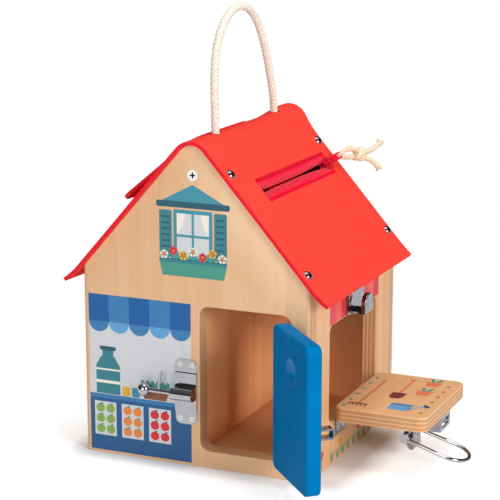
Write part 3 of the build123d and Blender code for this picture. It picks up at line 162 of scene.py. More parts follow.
class Nodes:
    """The nodes of a material or of the world, built by expressions."""

    def __init__(self, owner: Material | bpy.types.World) -> None:
        """Starts the owner's tree with no nodes."""
        owner.use_nodes = True
        self.tree = owner.node_tree
        self.tree.nodes.clear()

    def link(self, node: bpy.types.Node, key: str | int, value: object) -> None:
        """Gives a node's input a link or a constant.

        Args:
            node: The node.
            key: The input's name or number.
            value: A shade, a socket, or a constant.
        """
        source = value.socket if isinstance(value, Shade) else value
        if isinstance(source, bpy.types.NodeSocket):
            self.tree.links.new(source, node.inputs[key])
        else:
            node.inputs[key].default_value = source

    def node(
        self, kind: str, settings: dict | None = None, inputs: dict | None = None, **named: object
    ) -> bpy.types.Node:
        """Adds a node.

        Args:
            kind: The node's type, without the ShaderNode that it starts with.
            settings: Attributes to set before its sockets are filled.
            inputs: Values or links by the input's name or number.
            named: More inputs, by name.

        Returns:
            The node.
        """
        node = self.tree.nodes.new(f"ShaderNode{kind}")
        for key, value in (settings or {}).items():
            setattr(node, key, value)
        for key, value in {**(inputs or {}), **named}.items():
            self.link(node, key, value)
        return node

    def maths(self, operation: str, *values: "Shade | float") -> Shade:
        """Adds a Math node.

        Args:
            operation: The node's operation.
            values: Its inputs in order.

        Returns:
            Its result.
        """
        node = self.node("Math", {"operation": operation}, dict(enumerate(values)))
        return Shade(self, node.outputs[0])

    def place(self, scale: Point = (1.0, 1.0, 1.0)) -> Shade:
        """Object coordinates, stretched.

        Args:
            scale: A factor for each axis.

        Returns:
            The coordinates.
        """
        coordinates = self.node("TexCoord").outputs["Object"]
        mapping = self.node("Mapping", None, {"Vector": coordinates, "Scale": scale})
        return Shade(self, mapping.outputs[0])

    def along(self, axis: Axis) -> Shade:
        """The object coordinate along an axis, in metres."""
        coordinates = self.node("TexCoord").outputs["Object"]
        split = self.node("SeparateXYZ", None, {0: coordinates})
        return Shade(self, split.outputs[axis.value])

    def noise(self, where: Shade, scale: float, detail: float, roughness: float) -> Shade:
        """Adds a noise texture.

        Args:
            where: Its coordinates.
            scale: How many features there are in a unit of them.
            detail: The number of finer octaves.
            roughness: How strong the finer octaves are.

        Returns:
            The noise, about 0 to 1.
        """
        inputs = {"Vector": where, "Scale": scale, "Detail": detail, "Roughness": roughness}
        return Shade(self, self.node("TexNoise", None, inputs).outputs[0])

    def span(self, value: Shade, low: float, high: float, to_low: float = 0.0, to_high: float = 1.0) -> Shade:
        """Maps a range of a value to another range, and clamps it there.

        Args:
            value: The value.
            low: Its start.
            high: Its end.
            to_low: What the start becomes.
            to_high: What the end becomes.

        Returns:
            The mapped value.
        """
        node = self.node("MapRange", None, {0: value, 1: low, 2: high, 3: to_low, 4: to_high})
        return Shade(self, node.outputs[0])

    def mix(self, share: "Shade | float", first: object, second: object) -> Shade:
        """Mixes two colours.

        Args:
            share: How much of the second there is.
            first: A colour or a shade.
            second: A colour or a shade.

        Returns:
            The mixed colour.
        """
        node = self.node("Mix", {"data_type": "RGBA"}, {0: share, 6: first, 7: second})
        return Shade(self, node.outputs[2])

    def bump(self, height: Shade, strength: float, distance: float) -> Shade:
        """Turns a height into a normal.

        Args:
            height: The height, about 0 to 1.
            strength: The share of it that shows.
            distance: What a height of 1 is, in metres.

        Returns:
            The normal.
        """
        inputs = {"Height": height, "Strength": strength, "Distance": distance}
        return Shade(self, self.node("Bump", None, inputs).outputs[0])


class Graph(Nodes):
    """A material's nodes, around one principled shader."""

    def __init__(self, name: str) -> None:
        """Starts a material with only its shader and its output."""
        self.material = bpy.data.materials.new(name)
        super().__init__(self.material)
        self.shader = self.node("BsdfPrincipled")
        self.output = self.node("OutputMaterial", Surface=self.shader.outputs["BSDF"])

    def surface(self, **inputs: object) -> Material:
        """Fills the shader's inputs and gives the material.

        Args:
            inputs: Values by the input's name, with underscores for spaces.

        Returns:
            The finished material.
        """
        for key, value in inputs.items():
            self.link(self.shader, key.replace("_", " "), value)
        return self.material


# Finishes
#
# A Noise is its scale, its finer octaves and their strength. A Band is a range and what its ends become.


@dataclass(frozen=True)
class Plywood:
    """Varnished birch plywood: face grain on the sides, and the plies on the edges."""

    node: str
    thickness_axis: Axis
    grain_axis: Axis
    painted_indoor_light: Spot = (0.0, 0.0)
    dim: Spot = (0.0, 0.0)
    loft: float | None = None
    gable: Point | None = None
    start: float = 0.0
    thickness: float = 1.0
    plies: int = 7
    skin: float = 0.03
    lap: float = 0.05
    glue_start: float = 0.88
    top_ply: Spot = (0.5, 0.4)
    pale: Colour = srgb(235, 193, 151)
    warm: Colour = srgb(227, 178, 131)
    streak: Colour = srgb(208, 156, 110)
    end_grain: Colour = srgb(186, 122, 78)
    glue: Colour = srgb(138, 82, 50)
    # painted light: brighter, more orange tones for faces inside the house, standing in for light through the
    # openings
    lit_pale: Colour = srgb(255, 194, 138)
    lit_warm: Colour = srgb(254, 176, 112)
    # painted shade: the dark tone that the dim shares lay on inside faces
    dusk: Colour = srgb(120, 54, 24)
    # painted shade: the near black tone of the attic above the loft height
    gloom: Colour = srgb(44, 12, 14)
    # painted light and shade on the gable: lit tones by the right slope's edge, a shaded tone by the left's
    gable_lit_pale: Colour = srgb(254, 220, 183)
    gable_lit_warm: Colour = srgb(249, 208, 165)
    gable_shade: Colour = srgb(214, 162, 116)
    gable_lit_band: Band = (8 * MM, 34 * MM, 0.66, 0.0)
    gable_shade_band: Band = (0.0, 40 * MM, 0.42, 0.0)
    loft_shade_band: Band = (0.0, 20 * MM, 0.0, 0.95)
    grain_stretch: float = 0.035
    fine: Noise = (900.0, 4.0, 0.6)
    wide: Noise = (95.0, 3.0, 0.5)
    cloud: Noise = (12.0, 2.0, 0.5)
    pore: Noise = (1500.0, 2.0, 0.5)
    wide_band: Band = (0.35, 0.68, 0.0, 1.0)
    fine_band: Band = (0.54, 0.8, 0.0, 0.38)
    cloud_band: Band = (0.4, 0.7, 0.0, 0.5)
    pore_band: Band = (0.35, 0.7, 0.0, 1.0)
    rough_band: Band = (0.3, 0.7, 0.46, 0.58)
    relief_band: Band = (0.3, 0.8, 0.0, 0.7)
    ply_relief: float = 0.3
    ply_share: float = 0.85
    glue_share: float = 0.7

    def face(self, graph: Graph, low: Shade, high: Shade) -> tuple[Shade, Shade]:
        """Builds the veneer's colour, with its painted light and shade, and its fine grain.

        Args:
            graph: The material being built.
            low: 1 on the panel's low face.
            high: 1 on its high face.

        Returns:
            The colour, and the grain.
        """
        # painted light: faces inside the house take the lit tones
        indoor_light_share = low * self.painted_indoor_light[0] + high * self.painted_indoor_light[1]
        pale, warm = graph.mix(indoor_light_share, self.pale, self.lit_pale), graph.mix(indoor_light_share, self.warm, self.lit_warm)
        # painted light near the right slope's edge and painted shade near the left slope's edge
        if self.gable is not None:
            lean, rise, edge = self.gable
            across, up = graph.along(Axis.X) * lean, graph.along(Axis.Z) * rise
            right = low * graph.span(edge - (up + across), *self.gable_lit_band)
            left = low * graph.span(edge - (up - across), *self.gable_shade_band)
            pale, warm = graph.mix(right, pale, self.gable_lit_pale), graph.mix(right, warm, self.gable_lit_warm)
            pale, warm = graph.mix(left, pale, self.gable_shade), graph.mix(left, warm, self.gable_shade)
        stretch = [1.0, 1.0, 1.0]
        stretch[self.grain_axis.value] = self.grain_stretch
        fine = graph.noise(graph.place(tuple(stretch)), *self.fine)
        wide = graph.noise(graph.place(tuple(stretch)), *self.wide)
        cloud = graph.noise(graph.place(), *self.cloud)
        colour = graph.mix(graph.span(wide, *self.wide_band), pale, warm)
        colour = graph.mix(graph.span(fine, *self.fine_band), colour, self.streak)
        colour = graph.mix(graph.span(cloud, *self.cloud_band), colour, warm)
        # painted shade on inside faces that lie in shade
        colour = graph.mix(low * self.dim[0] + high * self.dim[1], colour, self.dusk)
        # painted shade in the attic, on the low face above the loft height
        if self.loft is not None:
            above = graph.span(graph.along(Axis.Z) - self.loft, *self.loft_shade_band)
            colour = graph.mix(low * above, colour, self.gloom)
        return colour, fine

    def make(self) -> Material:
        """Builds the material."""
        graph = Graph(f"plywood_{self.node}")
        plies = self.plies
        depth = (graph.along(self.thickness_axis) - self.start) / (self.thickness / plies)
        low, high = graph.span(depth, 0.0, self.skin, 1.0, 0.0), graph.span(depth, plies - self.skin, plies)
        face, fine = self.face(graph, low, high)
        inside = graph.span(depth, 0.0, self.lap) * graph.span(depth, plies - self.lap, plies, 1.0, 0.0)
        odd = ((depth % 2.0) > 1.0) * inside
        pores = graph.noise(graph.place(), *self.pore)
        cross = graph.mix(graph.span(pores, *self.pore_band), self.end_grain, self.warm)
        plied = graph.mix(odd * self.ply_share, face, cross)
        under_top = graph.span(depth, plies - self.top_ply[0], plies - self.top_ply[1], 1.0, 0.0)
        line = ((depth % 1.0) > self.glue_start) * inside * under_top
        relief = graph.span(fine, *self.relief_band) + odd * self.ply_relief
        return graph.surface(
            Base_Color=graph.mix(line * self.glue_share, plied, self.glue),
            Roughness=graph.span(fine, *self.rough_band),
            Normal=graph.bump(relief, 0.35, 0.12 * MM),
            Specular_IOR_Level=0.4,
            Coat_Weight=0.08,
            Coat_Roughness=0.35,
        )


@dataclass(frozen=True)
class SolidWood:
    """Plain sawn softwood, for what is inside."""

    name: str = "sawn_wood"
    pale: Colour = srgb(225, 180, 130)
    dark: Colour = srgb(190, 135, 85)
    stretch: Point = (1.0, 0.04, 1.0)
    ring: Noise = (260.0, 4.0, 0.6)
    ring_band: Band = (0.35, 0.7, 0.0, 1.0)
    rough_band: Band = (0.3, 0.7, 0.55, 0.7)

    def make(self) -> Material:
        """Builds the material."""
        graph = Graph(self.name)
        rings = graph.noise(graph.place(self.stretch), *self.ring)
        return graph.surface(
            Base_Color=graph.mix(graph.span(rings, *self.ring_band), self.pale, self.dark),
            Roughness=graph.span(rings, *self.rough_band),
            Normal=graph.bump(rings, 0.3, 0.2 * MM),
        )


@dataclass(frozen=True)
class Felt:
    """Pressed wool felt: matted fibres and a soft mottle, with painted shade in a deeper colour on its cut
    edges.
    """

    name: str = "felt_red"
    main: Colour = srgb(254, 74, 60)
    deep: Colour = srgb(240, 48, 42)
    light: Colour = srgb(255, 106, 82)
    # painted shade: the deeper colour laid on the cut edges
    edge: Colour = srgb(236, 26, 50)
    front: float = 0.0
    back: float = 0.0
    hem: Spot | None = None
    mottle: Noise = (240.0, 4.0, 0.65)
    fibre: Noise = (1700.0, 5.0, 0.75)
    lint: Noise = (2600.0, 3.0, 0.7)
    tuft: Noise = (620.0, 3.0, 0.7)
    fibre_run: Point = (1.0, 1.6, 1.0)
    lint_run: Point = (2.6, 1.0, 2.0)
    mottle_band: Band = (0.35, 0.7, 0.0, 0.55)
    tuft_band: Band = (0.46, 0.66, 0.0, 0.6)
    fibre_band: Band = (0.5, 0.75, 0.0, 0.55)
    lint_band: Band = (0.6, 0.78, 0.0, 0.6)
    rough_band: Band = (0.3, 0.7, 0.9, 1.0)
    edge_shade_fade: Spot = (0.2 * MM, 0.5 * MM)
    hem_edge_shade_fade: Spot = (-1.4 * MM, -0.8 * MM)
    edge_shade_share: float = 0.85

    def make(self) -> Material:
        """Builds the material. The hem, if there is one, is given by its slant and the ridge's height."""
        graph = Graph(self.name)
        mottle = graph.noise(graph.place(), *self.mottle)
        fibre = graph.noise(graph.place(self.fibre_run), *self.fibre)
        lint = graph.noise(graph.place(self.lint_run), *self.lint)
        tuft = graph.noise(graph.place(), *self.tuft)
        colour = graph.mix(graph.span(mottle, *self.mottle_band), self.main, self.deep)
        colour = graph.mix(graph.span(tuft, *self.tuft_band), colour, self.deep)
        colour = graph.mix(graph.span(fibre, *self.fibre_band), colour, self.light)
        colour = graph.mix(graph.span(lint, *self.lint_band), colour, self.light)
        along = graph.along(Axis.Y)
        # painted shade on the cut edges at the front, the back and the hem
        inner, outer = self.edge_shade_fade[1], self.edge_shade_fade[0]
        cut = graph.span(along, self.front + outer, self.front + inner, self.edge_shade_share, 0.0)
        rear = graph.span(along, self.back - inner, self.back - outer, 0.0, self.edge_shade_share)
        cut = cut.maths("MAXIMUM", rear)
        if self.hem is not None:
            past = (graph.along(Axis.Z) - self.hem[1]) * self.hem[0] + graph.along(Axis.X)
            cut = cut.maths("MAXIMUM", graph.span(past, *self.hem_edge_shade_fade, 0.0, self.edge_shade_share))
        return graph.surface(
            Base_Color=graph.mix(cut, colour, self.edge),
            Roughness=graph.span(fibre, *self.rough_band),
            Normal=graph.bump(fibre * 0.6 + mottle * 0.4, 0.45, 0.4 * MM),
            Specular_IOR_Level=0.1,
        )


@dataclass(frozen=True)
class Enamel:
    """A sprayed or baked colour on wood or metal."""

    name: str
    colour: Colour
    worn: Colour
    rough: float
    coat: float
    cloud: Noise = (38.0, 3.0, 0.5)
    peel: Noise = (1100.0, 2.0, 0.5)
    cloud_band: Band = (0.35, 0.75, 0.0, 0.45)
    rough_range: Spot = (0.3, 0.7)
    rough_spread: Spot = (0.04, 0.06)

    def shine(self, graph: Graph) -> "Shade | float":
        """The varnish's strength."""
        return self.coat

    def make(self) -> Material:
        """Builds the material."""
        graph = Graph(self.name)
        cloud = graph.noise(graph.place(), *self.cloud)
        peel = graph.noise(graph.place(), *self.peel)
        less, more = self.rough_spread
        return graph.surface(
            Base_Color=graph.mix(graph.span(cloud, *self.cloud_band), self.colour, self.worn),
            Roughness=graph.span(cloud, *self.rough_range, self.rough - less, self.rough + more),
            Normal=graph.bump(peel, 0.12, 0.08 * MM),
            Specular_IOR_Level=0.01,
            Coat_Weight=self.shine(graph),
            Coat_Roughness=0.2,
        )


@dataclass(frozen=True)
class DoorEnamel(Enamel):
    """The door's colour, rubbed bright in the finger dimple."""

    hinge: Spot = (85.2 * MM, -102.4 * MM)
    leaf: Spot = (0.6756, -0.7373)
    dimple: Spot = (43.0 * MM, 104.5 * MM)
    reach: float = 11.0 * MM
    rim: float = 0.5 * MM
    face_depth: Spot = (8 * MM, 9.5 * MM)
    rubbed: float = 0.6

    def shine(self, graph: Graph) -> Shade:
        """The varnish's strength, more in the dimple."""
        east, north = graph.along(Axis.X) - self.hinge[0], graph.along(Axis.Y) - self.hinge[1]
        along = east * self.leaf[0] + north * self.leaf[1] - self.dimple[0]
        up = graph.along(Axis.Z) - self.dimple[1]
        away = (along * along + up * up).maths("SQRT")
        inside = graph.span(east * self.leaf[1] - north * self.leaf[0], *self.face_depth)
        return inside * graph.span(away, self.reach - self.rim, self.reach, self.rubbed, self.coat)


@dataclass(frozen=True)
class Teeth:
    """Moulded zip teeth: a painted highlight on top of each, and painted shade in the gaps between them."""

    name: str
    # painted highlight: light is the crests' colour; deep is the painted shade in the gaps
    light: Colour
    deep: Colour
    pitch: float
    start: float
    flow: Noise = (300.0, 2.0, 0.5)
    rise: Spot = (0.20, 0.32)
    fall: Band = (0.86, 0.98, 1.0, 0.0)
    flow_band: Band = (0.2, 0.7, 0.85, 1.0)
    rough_band: Band = (0.3, 0.7, 0.45, 0.6)

    def make(self) -> Material:
        """Builds the material."""
        graph = Graph(self.name)
        place = ((graph.along(Axis.Y) - self.start) / self.pitch) % 1.0
        # painted highlight on each tooth's crest, painted shade between the teeth
        painted_crest_light = graph.span(place, *self.rise) * graph.span(place, *self.fall)
        flow = graph.noise(graph.place(), *self.flow)
        return graph.surface(
            Base_Color=graph.mix(painted_crest_light * graph.span(flow, *self.flow_band), self.deep, self.light),
            Roughness=graph.span(flow, *self.rough_band),
            Specular_IOR_Level=0.05,
        )


@dataclass(frozen=True)
class Metal:
    """Plated steel, bright or dull, with fine handling marks."""

    name: str
    tint: Colour
    rough: float
    scratch: float
    wave: float = 0.0
    heads: Spot | None = None
    smear: Noise = (120.0, 3.0, 0.5)
    brush: Noise = (900.0, 3.0, 0.5)
    swell: Noise = (150.0, 1.0, 0.5)
    brush_run: Point = (1.0, 14.0, 1.0)
    brush_height: float = 0.03
    dullness: float = 0.82
    smear_band: Band = (0.4, 0.75, 0.0, 0.5)
    rough_range: Spot = (0.3, 0.75)
    rough_more: float = 0.10
    recess: Spot = (0.15 * MM, 0.4 * MM)
    recess_shade_tint: Colour = (0.015, 0.015, 0.02, 1.0)

    def make(self) -> Material:
        """Builds the material, with painted shade in the recess of screw heads if their faces' places are
        given.
        """
        graph = Graph(self.name)
        smear = graph.noise(graph.place(), *self.smear)
        brush = graph.noise(graph.place(self.brush_run), *self.brush)
        dull = tuple(self.dullness * part for part in self.tint[:3]) + (1.0,)
        swell = graph.noise(graph.place(), *self.swell)
        height = brush * (self.scratch * self.brush_height) + swell * self.wave
        colour = graph.mix(graph.span(smear, *self.smear_band), self.tint, dull)
        # painted shade: dark where a screw head is sunk and round its rim
        if self.heads is not None:
            along = graph.along(Axis.Y)
            sunk = (along - self.heads[0]).maths("MINIMUM", self.heads[1] - along)
            colour = graph.mix(graph.span(sunk, *self.recess), colour, self.recess_shade_tint)
        return graph.surface(
            Base_Color=colour,
            Metallic=1.0,
            Roughness=graph.span(smear, *self.rough_range, self.rough, self.rough + self.rough_more),
            Normal=graph.bump(height, 1.0, MM),
        )


@dataclass(frozen=True)
class Tape:
    """A woven ribbon: fine ribs across it, and painted shade along its middle under the teeth and along its
    folds, if it has them.
    """

    name: str
    colour: Colour
    dark: Colour
    rib: float
    shadow_bed: Colour | None = None
    slope: Point = (0.0, 0.0, 0.0)
    shadow_bed_half: float = 0.0
    shadow_bed_fade: float = 0.7 * MM
    fold_place: float = 1.7
    fold_shadow_band: Band = (0.2 * MM, 0.7 * MM, 0.5, 0.0)
    fuzz: Noise = (1800.0, 3.0, 0.5)
    ridge_share: float = 0.6
    fuzz_share: float = 0.3

    def make(self) -> Material:
        """Builds the material."""
        graph = Graph(self.name)
        rib = (graph.along(Axis.Y) / self.rib) % 1.0
        ridge = rib.maths("PINGPONG", HALF) * 2.0
        fuzz = graph.noise(graph.place(), *self.fuzz)
        colour = graph.mix(ridge * self.ridge_share + fuzz * self.fuzz_share, self.dark, self.colour)
        # painted shade under the teeth and along the folds
        if self.shadow_bed is not None:
            across = graph.along(Axis.X) * self.slope[0] + graph.along(Axis.Z) * self.slope[1] - self.slope[2]
            away = across.maths("ABSOLUTE")
            inner = graph.span(away, self.shadow_bed_half, self.shadow_bed_half + self.shadow_bed_fade, 1.0, 0.0)
            fold = graph.span((away - self.fold_place * self.shadow_bed_half).maths("ABSOLUTE"), *self.fold_shadow_band)
            colour = graph.mix(inner.maths("MAXIMUM", fold), colour, self.shadow_bed)
        return graph.surface(
            Base_Color=colour,
            Roughness=0.9,
            Normal=graph.bump(ridge, 0.6, 0.15 * MM),
            Specular_IOR_Level=0.05,
        )


@dataclass(frozen=True)
class Cotton:
    """Soft twisted cotton: yarns that run along each strand's own map."""

    name: str
    pale: Colour
    shade: Colour
    yarns: float
    twists: float = 160.0
    fluff: Noise = (1400.0, 4.0, 0.7)
    soft: Noise = (130.0, 2.0, 0.5)
    twist_share: float = 0.65
    fluff_share: float = 0.5
    yarn_band: Band = (0.25, 0.95, 0.0, 1.0)
    soft_band: Band = (0.4, 0.8, 0.0, 0.35)

    def make(self) -> Material:
        """Builds the material."""
        graph = Graph(self.name)
        uv = graph.node("UVMap", {"uv_map": STRAND_MAP}).outputs[0]
        split = graph.node("SeparateXYZ", None, {0: uv})
        around, length = (Shade(graph, split.outputs[number]) for number in (0, 1))
        twist = ((around * self.yarns + length * self.twists) % 1.0).maths("PINGPONG", HALF) * 2.0
        fluff = graph.noise(graph.place(), *self.fluff)
        soft = graph.noise(graph.place(), *self.soft)
        share = graph.span(twist * self.twist_share + fluff * self.fluff_share, *self.yarn_band)
        colour = graph.mix(share, self.shade, self.pale)
        return graph.surface(
            Base_Color=graph.mix(graph.span(soft, *self.soft_band), colour, self.shade),
            Roughness=0.92,
            Normal=graph.bump(twist * 0.7 + fluff * 0.3, 0.7, 0.35 * MM),
            Sheen_Weight=0.3,
        )


@dataclass(frozen=True)
class Ink:
    """A printed colour, through which a little of the wood's grain shows."""

    name: str
    colour: Colour
    grain_run: Point = (1.0, 1.0, 0.05)
    grain: Noise = (700.0, 3.0, 0.5)
    patch: Noise = (60.0, 2.0, 0.5)
    worn_share: float = 0.86
    worn_lift: float = 0.03
    grain_band: Band = (0.5, 0.8, 0.0, 0.55)
    patch_band: Band = (0.4, 0.8, 0.0, 0.25)
    rough_band: Band = (0.3, 0.7, 0.42, 0.55)

    def make(self) -> Material:
        """Builds the material."""
        graph = Graph(self.name)
        grain = graph.noise(graph.place(self.grain_run), *self.grain)
        patch = graph.noise(graph.place(), *self.patch)
        worn = tuple(self.worn_share * part + self.worn_lift for part in self.colour[:3]) + (1.0,)
        thin = graph.span(grain, *self.grain_band) + graph.span(patch, *self.patch_band)
        return graph.surface(
            Base_Color=graph.mix(thin, self.colour, worn),
            Roughness=graph.span(grain, *self.rough_band),
            Normal=graph.bump(grain, 0.2, 0.08 * MM),
            Specular_IOR_Level=0.2,
        )


class Hue(Enum):
    """The inks of the prints."""

    DEEP_BLUE = Ink("ink_deep_blue", srgb(35, 98, 164))
    BLUE = Ink("ink_blue", srgb(66, 128, 182))
    SKY = Ink("ink_sky", srgb(100, 165, 212))
    COUNTER_BLUE = Ink("ink_counter_blue", srgb(48, 96, 146))
    MIST = Ink("ink_mist", srgb(214, 216, 219))
    TEAL = Ink("ink_teal", srgb(62, 132, 142))
    WINDOW_TEAL = Ink("ink_window_teal", srgb(72, 150, 168))
    DARK_TEAL = Ink("ink_dark_teal", srgb(50, 96, 112))
    LEAF = Ink("ink_leaf", srgb(76, 156, 138))
    APPLE = Ink("ink_apple", srgb(140, 178, 84))
    CREAM = Ink("ink_cream", srgb(246, 238, 226))
    YELLOW = Ink("ink_yellow", srgb(240, 186, 74))
    ORANGE = Ink("ink_orange", srgb(238, 140, 70))
    RED = Ink("ink_red", srgb(220, 56, 62))
    CORAL = Ink("ink_coral", srgb(246, 98, 92))
    ROSE = Ink("ink_rose", srgb(236, 74, 92))
    SALMON = Ink("ink_salmon", srgb(232, 128, 88))
    MAROON = Ink("ink_maroon", srgb(126, 52, 52))
    BROWN = Ink("ink_brown", srgb(146, 92, 64))

    def material(self) -> Material:
        """The ink's material, made when it is first used."""
        return bpy.data.materials.get(self.value.name) or self.value.make()


# Modelling helpers


def deselect() -> None:
    """Leaves edit mode and selects nothing."""
    if bpy.context.object and bpy.context.object.mode != "OBJECT":
        bpy.ops.object.mode_set(mode="OBJECT")
    bpy.ops.object.select_all(action="DESELECT")


def only(piece: Piece) -> None:
    """Selects one piece and makes it active."""
    deselect()
    piece.select_set(True)
    bpy.context.view_layer.objects.active = piece


def added(name: str, data: bpy.types.ID) -> Piece:
    """Puts a mesh, curve, lamp or camera into the scene.

    Args:
        name: The object's name.
        data: What it holds.

    Returns:
        The object.
    """
    piece = bpy.data.objects.new(name, data)
    bpy.context.collection.objects.link(piece)
    return piece


def finish_with(piece: Piece, kind: str, **settings: object) -> None:
    """Adds a modifier to a piece and applies it.

    Args:
        piece: The piece.
        kind: The modifier's type.
        settings: The modifier's attributes.
    """
    only(piece)
    modifier = piece.modifiers.new(kind.lower(), kind)
    for key, value in settings.items():
        setattr(modifier, key, value)
    bpy.ops.object.modifier_apply(modifier=modifier.name)


def edit_all(piece: Piece, operator: Callable, **settings: object) -> None:
    """Runs an operator on all of a piece's faces in edit mode.

    Args:
        piece: The piece.
        operator: The operator.
        settings: The operator's settings.
    """
    only(piece)
    bpy.ops.object.mode_set(mode="EDIT")
    bpy.ops.mesh.select_all(action="SELECT")
    operator(**settings)
    bpy.ops.object.mode_set(mode="OBJECT")


def settle(
    piece: Piece, name: str, body: str | None, material: Material | None = None
) -> None:
    """Names a piece, puts its place into its mesh, dresses it and sets it on its body.

    Args:
        piece: The piece.
        name: Its name.
        body: The body that it rides on, or none, which leaves it on no body.
        material: Its material, if it has none yet.
    """
    only(piece)
    bpy.ops.object.transform_apply(location=True, rotation=True, scale=True)
    piece.name = name
    piece.data.name = name
    if material is not None:
        piece.data.materials.clear()
        piece.data.materials.append(material)
    if body is not None:
        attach(piece, body)
    LOG.info("%s: %d faces on %s", name, len(piece.data.polygons), body)


def joined(shapes: list[Piece]) -> Piece:
    """Joins shapes into the first of them.

    Args:
        shapes: The shapes, of which there is at least one.

    Returns:
        The one object.
    """
    deselect()
    for shape in shapes:
        shape.select_set(True)
    bpy.context.view_layer.objects.active = shapes[0]
    bpy.ops.object.join()
    return shapes[0]


def shade_round(piece: Piece) -> None:
    """Shades every face of a piece smooth."""
    for polygon in piece.data.polygons:
        polygon.use_smooth = True


def dress(material: Material, *nodes: str) -> None:
    """Gives CAD nodes a material.

    Args:
        material: The material.
        nodes: The nodes' names.
    """
    for name in nodes:
        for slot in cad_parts[name].material_slots:
            slot.link = "OBJECT"
            slot.material = material
        LOG.info("%s: %s", name, material.name)


# Cords


@dataclass
class Route:
    """A cord's line: the control points of a smooth curve."""

    points: Path
    fineness: int = 24

    def centreline(self) -> list[Vector]:
        """Reads points along the smooth curve.

        Returns:
            Closely spaced points from its start to its end.
        """
        curve = bpy.data.curves.new("route", "CURVE")
        curve.dimensions = "3D"
        curve.resolution_u = self.fineness
        spline = curve.splines.new("NURBS")
        spline.points.add(len(self.points) - 1)
        for knot, point in zip(spline.points, self.points):
            knot.co = (*point, 1.0)
        spline.order_u = 3
        spline.use_endpoint_u = True
        holder = added("route", curve)
        bpy.context.view_layer.update()
        mesh = bpy.data.meshes.new_from_object(holder.evaluated_get(bpy.context.evaluated_depsgraph_get()))
        line = [vertex.co.copy() for vertex in mesh.vertices]
        bpy.data.objects.remove(holder)
        bpy.data.meshes.remove(mesh)
        bpy.data.curves.remove(curve)
        return line


def distances(line: list[Vector]) -> list[float]:
    """How far along a line each of its points is."""
    lengths = [0.0]
    for first, second in zip(line, line[1:]):
        lengths.append(lengths[-1] + (second - first).length)
    return lengths


def walk(line: list[Vector], step: float) -> list[Vector]:
    """Points at even steps along a line.

    Args:
        line: The line's points.
        step: The distance between the new points.

    Returns:
        The new points, with both ends among them.
    """
    lengths = distances(line)
    count = max(2, round(lengths[-1] / step))
    spaced = []
    index = 0
    for number in range(count + 1):
        target = lengths[-1] * number / count
        while index < len(line) - 2 and lengths[index + 1] < target:
            index += 1
        run = lengths[index + 1] - lengths[index]
        share = (target - lengths[index]) / run if run else 0.0
        spaced.append(line[index].lerp(line[index + 1], min(1.0, share)))
    return spaced


def turning_frames(line: list[Vector]) -> list[tuple[Vector, Vector]]:
    """Two side directions at each point of a line, carried along without a twist.

    Args:
        line: The line's points.

    Returns:
        A pair of directions for each point.
    """
    frames = []
    side = None
    for index in range(len(line)):
        ahead = (line[min(index + 1, len(line) - 1)] - line[max(index - 1, 0)]).normalized()
        if side is None:
            side = ahead.orthogonal().normalized()
        side = (side - ahead * side.dot(ahead)).normalized()
        frames.append((side, ahead.cross(side)))
    return frames


def tube(name: str, line: list[Vector], radii: list[float], sides: int) -> Piece:
    """Makes a closed tube along a line, with a map around and along it.

    Args:
        name: The object's name.
        line: The line's points.
        radii: The tube's radius at each point.
        sides: The number of its sides.

    Returns:
        The tube.
    """
    verts = []
    for point, (side, other), radius in zip(line, turning_frames(line), radii):
        for corner in range(sides):
            angle = 2 * math.pi * corner / sides
            verts.append(point + (side * math.cos(angle) + other * math.sin(angle)) * radius)
    last = len(line) - 1
    faces = []
    for ring in range(last):
        low, high = ring * sides, (ring + 1) * sides
        for corner in range(sides):
            after = (corner + 1) % sides
            faces.append((low + corner, low + after, high + after, high + corner))
    faces.append(tuple(reversed(range(sides))))
    faces.append(tuple(range(last * sides, len(line) * sides)))
    mesh = bpy.data.meshes.new(name)
    mesh.from_pydata(verts, [], faces)
    layer = mesh.uv_layers.new(name=STRAND_MAP)
    lengths = distances(line)
    for index, polygon in enumerate(mesh.polygons):
        ring, corner = divmod(index, sides)
        wraps = [(corner, ring), (corner + 1, ring), (corner + 1, ring + 1), (corner, ring + 1)]
        for place, loop in enumerate(polygon.loop_indices):
            around, row = wraps[place] if ring < last else (0, last)
            layer.data[loop].uv = (around / sides, lengths[row])
    return added(name, mesh)


@dataclass
class Rope:
    """A laid rope of twisted strands. Its fray and its pinch are a share and the length it fades over."""

    name: str
    route: Route
    diameter: float
    pitch: float
    strands: int = 3
    strand_share: float = 0.52
    steps: int = 22
    sides: int = 12
    fray: Spot = (0.0, 0.0)
    pinch: Spot = (1.0, 0.0)

    def girth(self, length: float) -> float:
        """The share of the full thickness at a distance from the start, where a hole may pinch it."""
        share, reach = self.pinch
        return 1.0 if length >= reach else share + (1 - share) * (length / reach) ** 2

    def build(self) -> tuple[Piece, list[Vector]]:
        """Makes the rope.

        Returns:
            The rope, and its centreline.
        """
        line = walk(self.route.centreline(), self.pitch / self.steps)
        frames = turning_frames(line)
        lengths = distances(line)
        radius = self.diameter / 2
        strand = radius * self.strand_share
        fray, fray_length = self.fray
        made = []
        for number in range(self.strands):
            path = []
            radii = []
            for point, (side, other), length in zip(line, frames, lengths):
                left = lengths[-1] - length
                spread = self.girth(length)
                radii.append(strand * spread)
                if left < fray_length:
                    spread += fray * (1 - left / fray_length) ** 2
                angle = 2 * math.pi * (length / self.pitch + number / self.strands)
                out = side * math.cos(angle) + other * math.sin(angle)
                path.append(point + out * (radius - strand) * spread)
            made.append(tube(f"{self.name}_{number}", path, radii, self.sides))
        piece = joined(made)
        shade_round(piece)
        return piece, line


